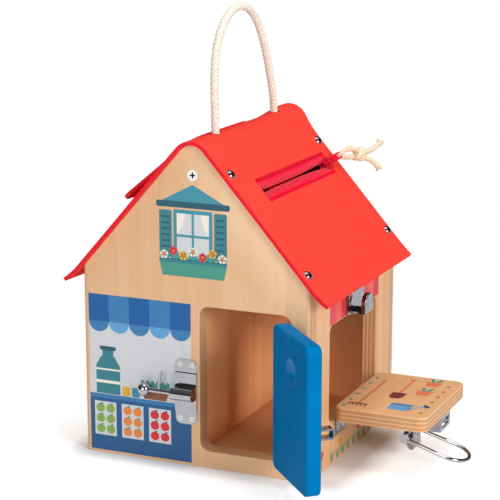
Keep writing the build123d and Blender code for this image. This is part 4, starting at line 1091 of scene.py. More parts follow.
@dataclass
class OverhandKnot:
    """A tight knot: one thick strand that passes round and through itself."""

    name: str
    centre: Point
    reach: float
    radius: float
    lean: float
    tilt: float = 0.6
    height: float = 0.72
    steps: int = 96
    sides: int = 14

    def build(self) -> Piece:
        """Makes the knot, tilted forwards and then turned about the upright.

        Returns:
            The knot.
        """
        turn = Matrix.Rotation(self.lean, 3, "Z") @ Matrix.Rotation(self.tilt, 3, "X")
        line = []
        for step in range(self.steps + 1):
            angle = 2 * math.pi * step / self.steps
            out = self.reach * (2 + math.cos(3 * angle)) / 3
            up = self.reach * self.height * math.sin(3 * angle)
            local = Vector((out * math.cos(2 * angle), out * math.sin(2 * angle), up))
            line.append(Vector(self.centre) + turn @ local)
        piece = tube(self.name, line, [self.radius] * len(line), self.sides)
        shade_round(piece)
        return piece


# Studio


@dataclass(frozen=True)
class Lamp:
    """A square soft lamp: where it hangs, its side and its power in watts."""

    name: str
    place: Point
    size: float
    watts: float
    aim: Point = (0.0, 0.0, 0.12)

    def hang(self) -> None:
        """Adds the lamp, facing its aim."""
        data = bpy.data.lights.new(self.name, "AREA")
        data.size = self.size
        data.energy = self.watts
        lamp = added(self.name, data)
        lamp.location = self.place
        lamp.rotation_mode = "QUATERNION"
        lamp.rotation_quaternion = (Vector(self.aim) - Vector(self.place)).to_track_quat("-Z", "Y")


@dataclass
class Studio:
    """A pale floor, soft lamps and the camera."""

    eye: Point = (0.5679, -1.2730, 0.4755)
    azimuth: float = 23.84
    elevation: float = 12.80
    lens: float = 122.13
    sensor: float = 36.0
    sight: float = 100.0
    floor_size: float = 40.0
    floor_drop: float = 0.2 * MM
    floor_tint: Colour = (0.9, 0.9, 0.9, 1.0)
    wall: float = 100 * MM
    shift: Spot = (12 * MM, 10 * MM)
    white_from: Spot = (22 * MM, 110 * MM)
    lift_from: Spot = (8 * MM, 32 * MM)
    lift: float = 0.48
    room: float = 0.02
    overhead: float = 0.14
    horizon: Spot = (0.12, 0.75)
    lamps: tuple[Lamp, ...] = (
        Lamp("key_lamp", (1.95, -1.0, 0.85), 0.9, 28.5),
        Lamp("front_lamp", (0.0, -2.4, 0.85), 1.1, 20.0),
        Lamp("top_lamp", (0.2, 0.1, 1.9), 1.2, 20.0, (0.0, 0.0, 0.1)),
    )

    def camera(self) -> None:
        """Adds the camera at the photograph's place."""
        data = bpy.data.cameras.new("camera")
        data.lens = self.lens
        data.sensor_width = self.sensor
        data.clip_end = self.sight
        camera = added("camera", data)
        turn, tilt = math.radians(self.azimuth), math.radians(self.elevation)
        back = Vector((math.sin(turn) * math.cos(tilt), -math.cos(turn) * math.cos(tilt), math.sin(tilt)))
        camera.location = self.eye
        camera.rotation_mode = "QUATERNION"
        camera.rotation_quaternion = (-back).to_track_quat("-Z", "Y")
        bpy.context.scene.camera = camera

    def floor(self) -> None:
        """Adds a floor that keeps the object's shadow near it and is plain white far from it."""
        deselect()
        bpy.ops.mesh.primitive_plane_add(size=self.floor_size, location=(0, 0, -self.floor_drop))
        floor = bpy.context.object
        floor.name = "floor"
        graph = Graph("floor_white")
        graph.surface(Base_Color=self.floor_tint, Roughness=0.9, Specular_IOR_Level=0.0)
        plain = graph.shader.outputs[0]
        path = graph.node("LightPath")
        seen = Shade(graph, path.outputs["Is Camera Ray"])
        for kind in ("Is Glossy Ray", "Is Transmission Ray"):
            seen = seen.maths("MAXIMUM", Shade(graph, path.outputs[kind]))
        across, ahead = (
            ((graph.along(axis) - shift).maths("ABSOLUTE") - self.wall).maths("MAXIMUM", 0.0)
            for axis, shift in zip((Axis.X, Axis.Y), self.shift)
        )
        distance = (across * across + ahead * ahead).maths("SQRT")
        far = graph.span(distance, *self.white_from)
        level = graph.span(distance, *self.lift_from, 0.0, self.lift)
        lift = graph.node("Emission", None, {"Color": WHITE, "Strength": level})
        lit = graph.node("AddShader", None, {0: plain, 1: lift.outputs[0]})
        white = graph.node("Emission", None, {"Color": WHITE, "Strength": 1.0})
        near = graph.node("MixShader", None, {0: seen, 1: plain, 2: lit.outputs[0]}).outputs[0]
        both = graph.node("MixShader", None, {0: far * seen, 1: near, 2: white.outputs[0]})
        graph.link(graph.output, 0, both.outputs[0])
        floor.data.materials.append(graph.material)

    def world(self) -> None:
        """Sets a dim room that is pale overhead, and that the camera sees as white."""
        world = bpy.data.worlds.new("studio")
        bpy.context.scene.world = world
        nodes = Nodes(world)
        towards = nodes.node("TexCoord").outputs["Generated"]
        split = nodes.node("SeparateXYZ", None, {0: towards})
        ramp = nodes.node("ValToRGB", None, {0: split.outputs[Axis.Z.value]})
        for stop, place, level in zip(ramp.color_ramp.elements, self.horizon, (self.room, self.overhead)):
            stop.position = place
            stop.color = (level, level, level, 1.0)
        sky = nodes.node("Background", None, {0: ramp.outputs[0]}).outputs[0]
        white = nodes.node("Background", None, {0: WHITE}).outputs[0]
        seen = nodes.node("LightPath").outputs["Is Camera Ray"]
        both = nodes.node("MixShader", None, {0: seen, 1: sky, 2: white})
        nodes.node("OutputWorld", None, {0: both.outputs[0]})

    def build(self) -> None:
        """Sets up the whole studio."""
        bpy.context.scene.view_settings.view_transform = "Standard"
        self.camera()
        self.floor()
        self.world()
        for lamp in self.lamps:
            lamp.hang()


# Roof


@dataclass
class FeltRoof:
    """The felt over both slopes, with its zip slot and hatch, and the flap on the left."""

    half_width: float = 100.0 * MM
    eave: float = 156.0 * MM
    rise: float = 114.0 * MM
    ridge_radius: float = 13.5 * MM
    seat: float = 0.2 * MM
    thick: float = 3.0 * MM
    edge_round: float = 0.5 * MM
    edge_angle: float = math.radians(60)
    smooth_angle: float = math.radians(50)
    overhang: float = 18.5 * MM
    front: float = -102.5 * MM
    back: float = 99.0 * MM
    zip_low: float = 76.8 * MM
    zip_high: float = 99.2 * MM
    zip_front: float = -64.0 * MM
    zip_back: float = 84.0 * MM
    hatch_low: float = 66.0 * MM
    hatch_high: float = 118.0 * MM
    hatch_front: float = -60.5 * MM
    hatch_back: float = 19.5 * MM
    flap_front: float = -74.0 * MM
    flap_back: float = 33.0 * MM
    flap_length: float = 84.0 * MM
    flap_lift: float = math.radians(7.5)
    flap_curl: float = 1.2 * MM
    flap_ripple: float = 0.8 * MM
    ripple_turns: float = 55.0
    free_corner: Spot = (10 * MM, 10 * MM)
    sewn_corner: Spot = (18 * MM, 10 * MM)
    hem_start: float = math.radians(29.0)
    hem_taper: float = 16.0 * MM
    hem_thin: float = 0.45
    bend_before: float = 0.2
    bend_after: float = 6 * MM
    lie: float = 0.30 * MM
    lie_turns: tuple[Spot, Spot] = ((61.0, 23.0), (-37.0, 74.0))
    hem_curl: float = 1.0 * MM
    corner_curl: float = 1.3
    corner_start: float = 60 * MM
    corner_run: float = 40 * MM
    crown: float = 4.5 * MM
    crown_start: float = 33 * MM
    crown_run: float = 60 * MM
    crown_half: float = 16 * MM
    cell: float = 3.0 * MM
    rope_places: Spot = (-55.8 * MM, 63.4 * MM)
    rope_hole: float = 4.1 * MM
    punch_length: float = 60 * MM
    punch_rise: float = 20 * MM
    punch_sides: int = 32
    felt: Felt = Felt()

    @property
    def pitch(self) -> float:
        """The slope's angle."""
        return math.atan2(self.rise, self.half_width)

    @property
    def ridge_z(self) -> float:
        """The height of the rounded ridge's centre."""
        return self.eave + self.rise - self.ridge_radius / math.cos(self.pitch)

    @property
    def bend(self) -> float:
        """The length of the rounding, from the ridge's top to a slope's straight part."""
        return self.ridge_radius * self.pitch

    @property
    def slope(self) -> float:
        """The straight part of a slope, from the eave to the rounding."""
        return self.half_width / math.cos(self.pitch) - self.ridge_radius * math.tan(self.pitch)

    def on_roof(self, across: float, out: float) -> Spot:
        """A point of the roof's section.

        Args:
            across: Along the section from the ridge's top, positive to the right.
            out: Out from the wood.

        Returns:
            Its x and z.
        """
        side = 1.0 if across >= 0 else -1.0
        reach = self.ridge_radius + out
        if abs(across) <= self.bend:
            angle = abs(across) / self.ridge_radius
            return side * reach * math.sin(angle), self.ridge_z + reach * math.cos(angle)
        down = abs(across) - self.bend
        x = reach * math.sin(self.pitch) + down * math.cos(self.pitch)
        return side * x, self.ridge_z + reach * math.cos(self.pitch) - down * math.sin(self.pitch)

    def swell(self, across: float, y: float) -> float:
        """How far the felt stands proud of the wood at a place.

        Args:
            across: Along the section from the ridge's top.
            y: Along the house.

        Returns:
            The height of its soft uneven lie, its curled hem and corners, and its crown at the ridge's rear.
        """
        waves = (math.sin(across * by_x + y * by_y) for by_x, by_y in self.lie_turns)
        wave = HALF + sum(waves) / 4
        hem = max(0.0, abs(across) - (self.bend + self.slope)) / self.overhang
        corner = max(0.0, -y - self.corner_start) / self.corner_run
        rear = min(1.0, max(0.0, (y - self.crown_start) / self.crown_run))
        crown = self.crown * rear * rear * (3 - 2 * rear) * math.exp(-((across / self.crown_half) ** 2))
        return wave * self.lie + hem * hem * (1.0 + self.corner_curl * corner) * self.hem_curl + crown

    def flat_sheet(self, length: float, width: float, centre: Point) -> Piece:
        """Adds a flat grid to be folded.

        Args:
            length: Along X.
            width: Along Y.
            centre: Its middle.

        Returns:
            The grid.
        """
        deselect()
        bpy.ops.mesh.primitive_grid_add(
            x_subdivisions=round(length / self.cell),
            y_subdivisions=round(width / self.cell),
            size=1.0,
            location=centre,
        )
        sheet = bpy.context.object
        sheet.scale = (length, width, 1.0)
        bpy.ops.object.transform_apply(location=True, rotation=True, scale=True)
        return sheet

    def cut_window(self, sheet: Piece, side: float, ups: Spot, ends: Spot) -> None:
        """Cuts a rectangle out of the roof's flat sheet.

        Args:
            sheet: The sheet.
            side: 1 for the right slope, -1 for the left.
            ups: The rectangle's lower and upper edge, up the slope from the eave.
            ends: Its front and its back.
        """
        bounds = (sorted(side * (self.bend + self.slope - up) for up in ups), ends)
        for axis, edges in enumerate(bounds):
            normal = [float(number == axis) for number in range(3)]
            for edge in edges:
                place = [edge * share for share in normal]
                edit_all(sheet, bpy.ops.mesh.bisect, plane_co=place, plane_no=normal)
        edit_all(sheet, bpy.ops.mesh.select_all, action="DESELECT")
        for polygon in sheet.data.polygons:
            polygon.select = all(low < polygon.center[axis] < high for axis, (low, high) in enumerate(bounds))
        bpy.ops.object.mode_set(mode="EDIT")
        bpy.ops.mesh.select_mode(type="FACE")
        bpy.ops.mesh.delete(type="FACE")
        bpy.ops.object.mode_set(mode="OBJECT")

    def thicken(self, sheet: Piece, **uneven: object) -> None:
        """Gives a folded sheet its thickness and soft edges.

        Args:
            sheet: The sheet.
            uneven: Settings for a thickness that varies, if it does.
        """
        finish_with(sheet, "SOLIDIFY", thickness=self.thick, offset=0.0, use_even_offset=True, **uneven)
        corners = {"limit_method": "ANGLE", "angle_limit": self.edge_angle}
        finish_with(sheet, "BEVEL", width=self.edge_round, segments=2, **corners)
        only(sheet)
        bpy.ops.object.shade_smooth_by_angle(angle=self.smooth_angle)

    def roof(self) -> None:
        """Makes the roof's sheet."""
        half = self.bend + self.slope + self.overhang
        width = self.back - self.front
        sheet = self.flat_sheet(2 * half, width, (0.0, (self.front + self.back) / 2, 0.0))
        self.cut_window(sheet, 1.0, (self.zip_low, self.zip_high), (self.zip_front, self.zip_back))
        self.cut_window(sheet, -1.0, (self.hatch_low, self.hatch_high), (self.hatch_front, self.hatch_back))
        for vertex in sheet.data.vertices:
            across, y = vertex.co.x, vertex.co.y
            x, z = self.on_roof(across, self.seat + self.thick / 2 + self.swell(across, y))
            vertex.co = (x, y, z)
        self.thicken(sheet)
        self.pierce(sheet)
        felt = replace(self.felt, front=self.front, back=self.back)
        settle(sheet, "felt_roof", "house", felt.make())
        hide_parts("roof_felt")
        cut = 2 * half * width - (self.zip_high - self.zip_low) * (self.zip_back - self.zip_front)
        cut -= (self.hatch_high - self.hatch_low) * (self.hatch_back - self.hatch_front)
        2 * half

    def pierce(self, sheet: Piece) -> None:
        """Cuts the rope's round holes through the roof's sheet at the ridge."""
        for y in self.rope_places:
            deselect()
            bpy.ops.mesh.primitive_cylinder_add(
                vertices=self.punch_sides,
                radius=self.rope_hole,
                depth=self.punch_length,
                location=(0.0, y, self.ridge_z + self.punch_rise),
            )
            punch = bpy.context.object
            finish_with(sheet, "BOOLEAN", object=punch, operation="DIFFERENCE", solver="EXACT")
            bpy.data.objects.remove(punch)

    def flap(self) -> None:
        """Makes the flap with its sewn hem, one sheet that bends at the hem's edge."""
        reach = self.ridge_radius + 2 * self.seat + 1.5 * self.thick
        leave = self.pitch - self.flap_lift
        arc = reach * (leave - self.hem_start)
        length = arc + self.flap_length
        width = self.flap_back - self.flap_front
        sheet = self.flat_sheet(length, width, (length / 2, (self.flap_front + self.flap_back) / 2, 0.0))
        self.round_ends(sheet, length)
        thickness = sheet.vertex_groups.new(name="thickness")
        for vertex in sheet.data.vertices:
            along, y = vertex.co.x, vertex.co.y
            full = min(1.0, along / self.hem_taper)
            thickness.add([vertex.index], full, "REPLACE")
            sunk = (1 - full) * (1 - self.hem_thin) * self.thick / 2
            if along <= arc:
                x, z = self.round_ridge(reach - sunk, self.hem_start + along / reach)
            else:
                x, z = self.round_ridge(reach, leave)
                free = along - arc
                share = free / self.flap_length
                curl = self.flap_curl + self.flap_ripple * math.sin(y * self.ripple_turns)
                lift = share * share * curl - sunk
                x -= free * math.cos(leave) + lift * math.sin(leave)
                z += lift * math.cos(leave) - free * math.sin(leave)
            vertex.co = (x, y, z)
        edit_all(sheet, bpy.ops.mesh.flip_normals)
        self.thicken(sheet, vertex_group="thickness", thickness_vertex_group=self.hem_thin)
        hem = (math.tan(self.hem_start), self.ridge_z)
        felt = replace(self.felt, name="felt_red_flap", front=self.flap_front, back=self.flap_back, hem=hem)
        settle(sheet, "felt_flap", None, felt.make())
        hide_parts("flap_hem", "roof_flap")
        hinge_x, hinge_z = self.round_ridge(reach, leave)
        before_x, before_z = self.round_ridge(reach, leave - self.bend_before)
        run, drop = math.cos(leave) * self.bend_after, math.sin(leave) * self.bend_after
        after = (hinge_x - run, 0.0, hinge_z - drop)
        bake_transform(sheet)
        corners = (self.free_corner, self.sewn_corner)
        area = length * width - sum(2 * run * depth * (1 - math.pi / 4) for run, depth in corners)

    def round_ridge(self, reach: float, angle: float) -> Spot:
        """The x and z of a point left of the ridge, by its distance from the centre and its angle."""
        return -reach * math.sin(angle), self.ridge_z + reach * math.cos(angle)

    def round_ends(self, sheet: Piece, length: float) -> None:
        """Rounds the four corners of the flap's flat sheet.

        Args:
            sheet: The sheet.
            length: The sheet's length along X.
        """
        for vertex in sheet.data.vertices:
            for (run, depth), far in ((self.free_corner, True), (self.sewn_corner, False)):
                past = max(self.flap_front + run - vertex.co.y, vertex.co.y - self.flap_back + run, 0.0)
                across = past / run
                inset = depth * (1 - math.sqrt(max(0.0, 1 - across * across)))
                reach = vertex.co.x - (length - 2 * depth) if far else 2 * depth - vertex.co.x
                if across > 0 and reach > 0:
                    vertex.co.x += (-inset if far else inset) * reach / (2 * depth)

    def build(self) -> None:
        """Makes the roof's felt."""
        self.roof()
        self.flap()


# Zip


@dataclass
class Zip:
    """Two tapes and two rows of teeth in the right slope, drawn apart towards the slider."""

    roof: FeltRoof
    middle: float = 88.0 * MM
    front: float = -65.0 * MM
    back: float = 84.4 * MM
    coil_front: float = -60.4 * MM
    coil_back: float = 83.2 * MM
    tape_edge: float = 14.0 * MM
    tape_thick: float = 0.7 * MM
    tape_out: float = -0.4 * MM
    tape_cells: tuple[int, int] = (60, 20)
    post_room: float = 0.82 * MM
    front_gap: float = 0.5 * MM
    front_gap_share: float = 0.12
    back_gap: float = 1.8 * MM
    open_share: float = 0.45
    wide_share: float = 0.95
    swing: float = 0.6
    fold_start: float = 0.22
    fold_share: float = 0.5
    fold_height: float = 1.5 * MM
    tooth_pitch: float = 4.7 * MM
    tooth_length: float = 5.0 * MM
    tooth_radius: float = 0.9 * MM
    tooth_arch: float = 0.08 * MM
    tooth_spread: float = 1.5
    tooth_ends: tuple[float, ...] = (0.75, 0.95, 1.0, 1.0, 1.0, 1.0, 1.0, 0.95, 0.75)
    tooth_sides: int = 10
    shadow_bed_half: float = 5.0 * MM
    # painted shade: shadow darkens the teeth's gaps, the tape under the teeth and its folds; light is the
    # painted highlight on the crests
    shadow: Colour = srgb(186, 8, 40)
    tape: Tape = Tape("zip_tape_red", srgb(255, 44, 78), srgb(244, 26, 62), 1.1 * MM)
    light: Colour = srgb(255, 74, 92)
    metal: Enamel = Enamel("zip_slider_red", srgb(214, 16, 48), srgb(180, 8, 34), 0.26, 0.6)

    def on_slope(self, y: float, up: float, out: float) -> Vector:
        """A point of the right slope.

        Args:
            y: Its place along the house.
            up: Its distance up the slope from the eave.
            out: Its distance out from the wood.

        Returns:
            The point.
        """
        pitch = self.roof.pitch
        x = self.roof.half_width - up * math.cos(pitch) + out * math.sin(pitch)
        return Vector((x, y, self.roof.eave + up * math.sin(pitch) + out * math.cos(pitch)))

    def parting(self, y: float) -> float:
        """Half the gap between the rows at a place: room for the slider's post, and most by the slider."""
        share = (y - self.coil_front) / (self.coil_back - self.coil_front)
        if share < self.front_gap_share:
            return self.post_room + self.front_gap * (1 - (share / self.front_gap_share) ** 4)
        rise = min(1.0, max(0.0, (share - self.open_share) / (self.wide_share - self.open_share)))
        return self.post_room + self.back_gap * rise * rise * (1 + self.swing - self.swing * rise)

    def tape_strip(self, side: float) -> Piece:
        """Makes one tape.

        Args:
            side: 1 for the upper tape, -1 for the lower.

        Returns:
            The tape.
        """
        along, across = self.tape_cells
        deselect()
        bpy.ops.mesh.primitive_grid_add(x_subdivisions=along, y_subdivisions=across, size=1.0)
        strip = bpy.context.object
        for vertex in strip.data.vertices:
            y = self.front + (self.back - self.front) * (vertex.co.x + HALF)
            share = vertex.co.y + HALF
            inner = self.parting(y)
            up = inner + (self.tape_edge - inner) * share
            fold = math.sin(math.pi * min(1.0, max(0.0, share - self.fold_start) / self.fold_share)) ** 2
            vertex.co = self.on_slope(y, self.middle + side * up, self.tape_out + self.fold_height * fold)
        finish_with(strip, "SOLIDIFY", thickness=self.tape_thick, offset=0.0)
        edit_all(strip, bpy.ops.mesh.normals_make_consistent, inside=False)
        return strip

    def teeth_row(self, side: float) -> Piece:
        """Makes one row of teeth: low oval bars across the tape's edge.

        Args:
            side: 1 for the upper row, -1 for the lower.

        Returns:
            The row.
        """
        row = []
        radii = [self.tooth_radius * end for end in self.tooth_ends]
        for number in range(int((self.coil_back - self.coil_front) / self.tooth_pitch - HALF)):
            y = self.coil_front + self.tooth_pitch * (number + HALF)
            line = []
            for step in range(len(radii)):
                share = step / (len(radii) - 1)
                up = self.middle + side * (self.parting(y) + self.tooth_length * share)
                out = self.tooth_radius + self.tooth_arch * math.sin(math.pi * share)
                line.append(self.on_slope(y, up, out))
            tooth = tube("tooth", line, radii, self.tooth_sides)
            for vertex in tooth.data.vertices:
                vertex.co.y = y + (vertex.co.y - y) * self.tooth_spread
            row.append(tooth)
        return joined(row)

    def build(self) -> None:
        """Makes the tapes and the teeth, and dresses the slider."""
        tapes = joined([self.tape_strip(1.0), self.tape_strip(-1.0)])
        up = Vector((-math.cos(self.roof.pitch), 0.0, math.sin(self.roof.pitch)))
        middle = self.on_slope(0.0, self.middle, 0.0).dot(up)
        shadowed_tape = replace(self.tape, shadow_bed=self.shadow, slope=(up.x, up.z, middle), shadow_bed_half=self.shadow_bed_half)
        settle(tapes, "zip_tape_pair", "house", shadowed_tape.make())
        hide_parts("zip_tapes")
        coils = joined([self.teeth_row(1.0), self.teeth_row(-1.0)])
        shade_round(coils)
        teeth = Teeth("zip_teeth_red", self.light, self.shadow, self.tooth_pitch, self.coil_front)
        settle(coils, "zip_coil_pair", "house", teeth.make())
        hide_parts("zip_coils")
        dress(self.metal.make(), "zip_slider", "zip_pull_tab", "zip_stop")


# Handle and pull cords


@dataclass
class Cords:
    """The rope handle and the zip's knotted pull."""

    rope_diameter: float = 6.8 * MM
    pull_diameter: float = 5.0 * MM
    handle_points: Path = (
        (0.0, -0.0558, 0.2170),
        (0.0, -0.0556, 0.2460),
        (0.0, -0.0562, 0.2760),
        (0.0, -0.0580, 0.3030),
        (0.0, -0.0560, 0.3290),
        (0.0, -0.0440, 0.3500),
        (0.0, -0.0220, 0.3630),
        (0.0, 0.0020, 0.3640),
        (0.0, 0.0240, 0.3530),
        (0.0, 0.0400, 0.3320),
        (0.0, 0.0525, 0.3060),
        (0.0, 0.0630, 0.2780),
        (0.0, 0.0636, 0.2470),
        (0.0, 0.0634, 0.2170),
    )
    upper_points: Path = (
        (0.04956, 0.09018, 0.22882),
        (0.0517, 0.0888, 0.2307),
        (0.0541, 0.0899, 0.2328),
        (0.0562, 0.0952, 0.2346),
        (0.0586, 0.1050, 0.2330),
        (0.0592, 0.1154, 0.2286),
        (0.0624, 0.1266, 0.2270),
        (0.0658, 0.1376, 0.2294),
        (0.0680, 0.1476, 0.2336),
    )
    lower_points: Path = (
        (0.04956, 0.09018, 0.22882),
        (0.0478, 0.0914, 0.2273),
        (0.0472, 0.0941, 0.2267),
        (0.0496, 0.0986, 0.2262),
        (0.0540, 0.1070, 0.2252),
        (0.0586, 0.1156, 0.2248),
        (0.0644, 0.1228, 0.2224),
        (0.0694, 0.1276, 0.2184),
        (0.0730, 0.1316, 0.2126),
    )
    knot_spot: Point = (0.0589, 0.1155, 0.2268)
    knot_sizes: Point = (4.6 * MM, 2.5 * MM, 0.5)
    rope_lay: float = 11.5 * MM
    rope_knot_drop: float = 9.2 * MM
    rope_knot_sizes: Spot = (5.3 * MM, 3.4 * MM)
    rope_knot_turn: float = 20.0
    pull_lay: float = 9 * MM
    pull_sides: int = 10
    pull_fray: Spot = (1.1, 7 * MM)
    pull_pinch: Spot = (0.68, 12 * MM)
    beam_underside: float = 225.0 * MM
    white: Cotton = Cotton("cotton_rope", srgb(255, 250, 242), srgb(232, 218, 200), 7.0)
    ecru: Cotton = Cotton("cotton_pull", srgb(255, 240, 216), srgb(230, 204, 170), 5.0)

    def handle(self) -> None:
        """Makes the rope handle and the knots that hold it under the beam."""
        material = self.white.make()
        rope, line = Rope("rope_handle", Route(self.handle_points), self.rope_diameter, self.rope_lay).build()
        settle(rope, "rope_handle", "house", material)
        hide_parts("handle_rope")
        knots = []
        for end in (self.handle_points[0], self.handle_points[-1]):
            centre = (end[0], end[1], self.beam_underside - self.rope_knot_drop)
            lean = end[1] * self.rope_knot_turn
            knots.append(OverhandKnot("knot", centre, *self.rope_knot_sizes, lean).build())
        pair = joined(knots)
        settle(pair, "rope_handle_knots", "house", material)
        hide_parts("rope_knots")
        distances(line)[-1]

    def pull(self) -> None:
        """Makes the two strands of the zip's pull and their knot."""
        material = self.ecru.make()
        knot = OverhandKnot("pull_cord_knot", self.knot_spot, *self.knot_sizes).build()
        settle(knot, "pull_cord_knot", "zip_pull", material)
        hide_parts("pull_knot")
        for name, node, points in (
            ("pull_strand_upper", "pull_cord_upper", self.upper_points),
            ("pull_strand_lower", "pull_cord_lower", self.lower_points),
        ):
            rope, line = Rope(
                name,
                Route(points),
                self.pull_diameter,
                self.pull_lay,
                sides=self.pull_sides,
                fray=self.pull_fray,
                pinch=self.pull_pinch,
            ).build()
            settle(rope, name, "zip_pull", material)
            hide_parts(node)
            distances(line)[-1]

    def build(self) -> None:
        """Makes all the cords."""
        self.handle()
        self.pull()


# Prints


class Face(Enum):
    """A flat face that carries a print: its axis, its place, which way it looks, and the print's two axes."""

    FRONT = (Axis.Y, -99.0 * MM, -1.0, Axis.X, Axis.Z)
    SIDE = (Axis.X, 100.0 * MM, 1.0, Axis.Y, Axis.Z)
    FLAP = (Axis.Z, 50.4 * MM, 1.0, Axis.X, Axis.Y)


@dataclass(frozen=True)
class Row:
    """Ovals at even steps: the first one's place, the step, their half sizes and their turns in degrees."""

    count: int
    first: Spot
    step: Spot
    size: Spot
    turn: float = 0.0
    turn_step: float = 0.0


@dataclass
class Print:
    """A flat picture of inked shapes on one face of the wood, drawn in millimetres."""

    name: str
    face: Face
    body: str
    film: float = 0.05 * MM
    film_share: float = 0.9
    corner_steps: int = 6
    disc_steps: int = 28
    scallop_steps: int = 18
    petals: int = 5
    petal_out: float = 1.15
    eye_share: float = 0.7
    shapes: list[Piece] = field(default_factory=list)
    layer: int = 0

    def on_face(self, spot: Spot, lift: float) -> Vector:
        """The point of the face at a print's place, in metres."""
        axis, height, outward, first, second = self.face.value
        point = Vector((0.0, 0.0, 0.0))
        point[axis.value] = height + outward * lift
        point[first.value] = spot[0] * MM
        point[second.value] = spot[1] * MM
        return point

    def shape(self, hue: Hue, outline: list[Spot]) -> None:
        """Lays down one inked shape.

        Args:
            hue: Its ink.
            outline: Its corners in order.
        """
        deselect()
        bpy.ops.mesh.primitive_circle_add(vertices=len(outline), radius=1.0, fill_type="NGON")
        patch = bpy.context.object
        lift = self.film * (1 + self.layer)
        for vertex, spot in zip(patch.data.vertices, outline):
            vertex.co = self.on_face(spot, lift)
        patch.data.update()
        axis, _, outward, _, _ = self.face.value
        if patch.data.polygons[0].normal[axis.value] * outward < 0:
            edit_all(patch, bpy.ops.mesh.flip_normals)
        finish_with(patch, "SOLIDIFY", thickness=self.film * self.film_share, offset=-1.0)
        patch.data.materials.append(hue.material())
        self.shapes.append(patch)

    def next_layer(self) -> None:
        """Puts what follows on top of what is there."""
        self.layer += 1

    @contextmanager
    def on_top(self) -> Iterator[None]:
        """Puts what is laid down within it one layer higher."""
        self.layer += 1
        yield
        self.layer -= 1

    def shape_at(self, hue: Hue, foot: Spot, corners: Outline) -> None:
        """Lays down a shape whose corners are measured from a place."""
        self.shape(hue, [(foot[0] + across, foot[1] + up) for across, up in corners])

    def box(
        self, hue: Hue, first: float, low: float, second: float, high: float, round_by: float = 0.0
    ) -> None:
        """Lays down a rectangle.

        Args:
            hue: Its ink.
            first: One of its sides.
            low: Its lower side.
            second: Its other side.
            high: Its upper side.
            round_by: The radius of its corners.
        """
        left, right = sorted((first, second))
        if round_by <= 0:
            self.shape(hue, [(left, low), (right, low), (right, high), (left, high)])
            return
        outline = []
        corners = ((right, low, -90), (right, high, 0), (left, high, 90), (left, low, 180))
        for x, z, start in corners:
            cx = x - round_by if x == right else x + round_by
            cz = z - round_by if z == high else z + round_by
            for step in range(self.corner_steps + 1):
                angle = math.radians(start + 90 * step / self.corner_steps)
                outline.append((cx + round_by * math.cos(angle), cz + round_by * math.sin(angle)))
        self.shape(hue, outline)

    def band(self, hue: Hue, foot: Spot, sizes: Point, round_by: float = 0.0) -> None:
        """Lays down a rectangle that is even about an upright line.

        Args:
            hue: Its ink.
            foot: The line's place, and the height that the rectangle is measured from.
            sizes: Its half width, its lower side and its upper side.
            round_by: The radius of its corners.
        """
        (x, z), (half, low, high) = foot, sizes
        self.box(hue, x - half, z + low, x + half, z + high, round_by)

    def disc(
        self, hue: Hue, centre: Spot, across: float, tall: float | None = None, turn: float = 0.0
    ) -> None:
        """Lays down a disc or an oval.

        Args:
            hue: Its ink.
            centre: Its middle.
            across: Its half width.
            tall: Its half height, if it isn't round.
            turn: Its turn, in degrees.
        """
        tall = across if tall is None else tall
        cosine, sine = math.cos(math.radians(turn)), math.sin(math.radians(turn))
        outline = []
        for step in range(self.disc_steps):
            angle = 2 * math.pi * step / self.disc_steps
            x, z = across * math.cos(angle), tall * math.sin(angle)
            outline.append((centre[0] + x * cosine - z * sine, centre[1] + x * sine + z * cosine))
        self.shape(hue, outline)

    def row(self, hue: Hue, row: Row, foot: Spot = (0.0, 0.0)) -> None:
        """Lays down a row of ovals.

        Args:
            hue: Their ink.
            row: Their places, sizes and turns.
            foot: What the places are measured from.
        """
        for number in range(row.count):
            x = foot[0] + row.first[0] + number * row.step[0]
            z = foot[1] + row.first[1] + number * row.step[1]
            self.disc(hue, (x, z), *row.size, row.turn + number * row.turn_step)

    def scallop(self, hue: Hue, left: float, right: float, top: float, drop: float) -> None:
        """Lays down one hanging half round of an awning.

        Args:
            hue: Its ink.
            left: Its left end.
            right: Its right end.
            top: Its straight upper edge.
            drop: How far it hangs.
        """
        middle, half = (left + right) / 2, (right - left) / 2
        angles = [-math.pi * step / self.scallop_steps for step in range(self.scallop_steps + 1)]
        self.shape(hue, [(middle + half * math.cos(angle), top + drop * math.sin(angle)) for angle in angles])

    def stroke(self, hue: Hue, start: Spot, end: Spot, width: float) -> None:
        """Lays down a straight line with square ends.

        Args:
            hue: Its ink.
            start: Its start.
            end: Its end.
            width: Its width.
        """
        along = Vector((end[0] - start[0], end[1] - start[1])).normalized() * (width / 2)
        corners = ((start, 1), (start, -1), (end, -1), (end, 1))
        self.shape(hue, [(x - way * along.y, z + way * along.x) for (x, z), way in corners])

    def flower(self, centre: Spot, petal: float, hue: Hue, eye: Hue) -> None:
        """Lays down a flower with round petals.

        Args:
            centre: Its middle.
            petal: A petal's radius.
            hue: The petals' ink.
            eye: The middle's ink.
        """
        out = petal * self.petal_out
        for number in range(self.petals):
            angle = math.radians(90 + 360 * number / self.petals)
            self.disc(hue, (centre[0] + out * math.cos(angle), centre[1] + out * math.sin(angle)), petal)
        with self.on_top():
            self.disc(eye, centre, petal * self.eye_share)

    def finish(self) -> None:
        """Joins the shapes into one piece on its body."""
        settle(joined(self.shapes), self.name, self.body)


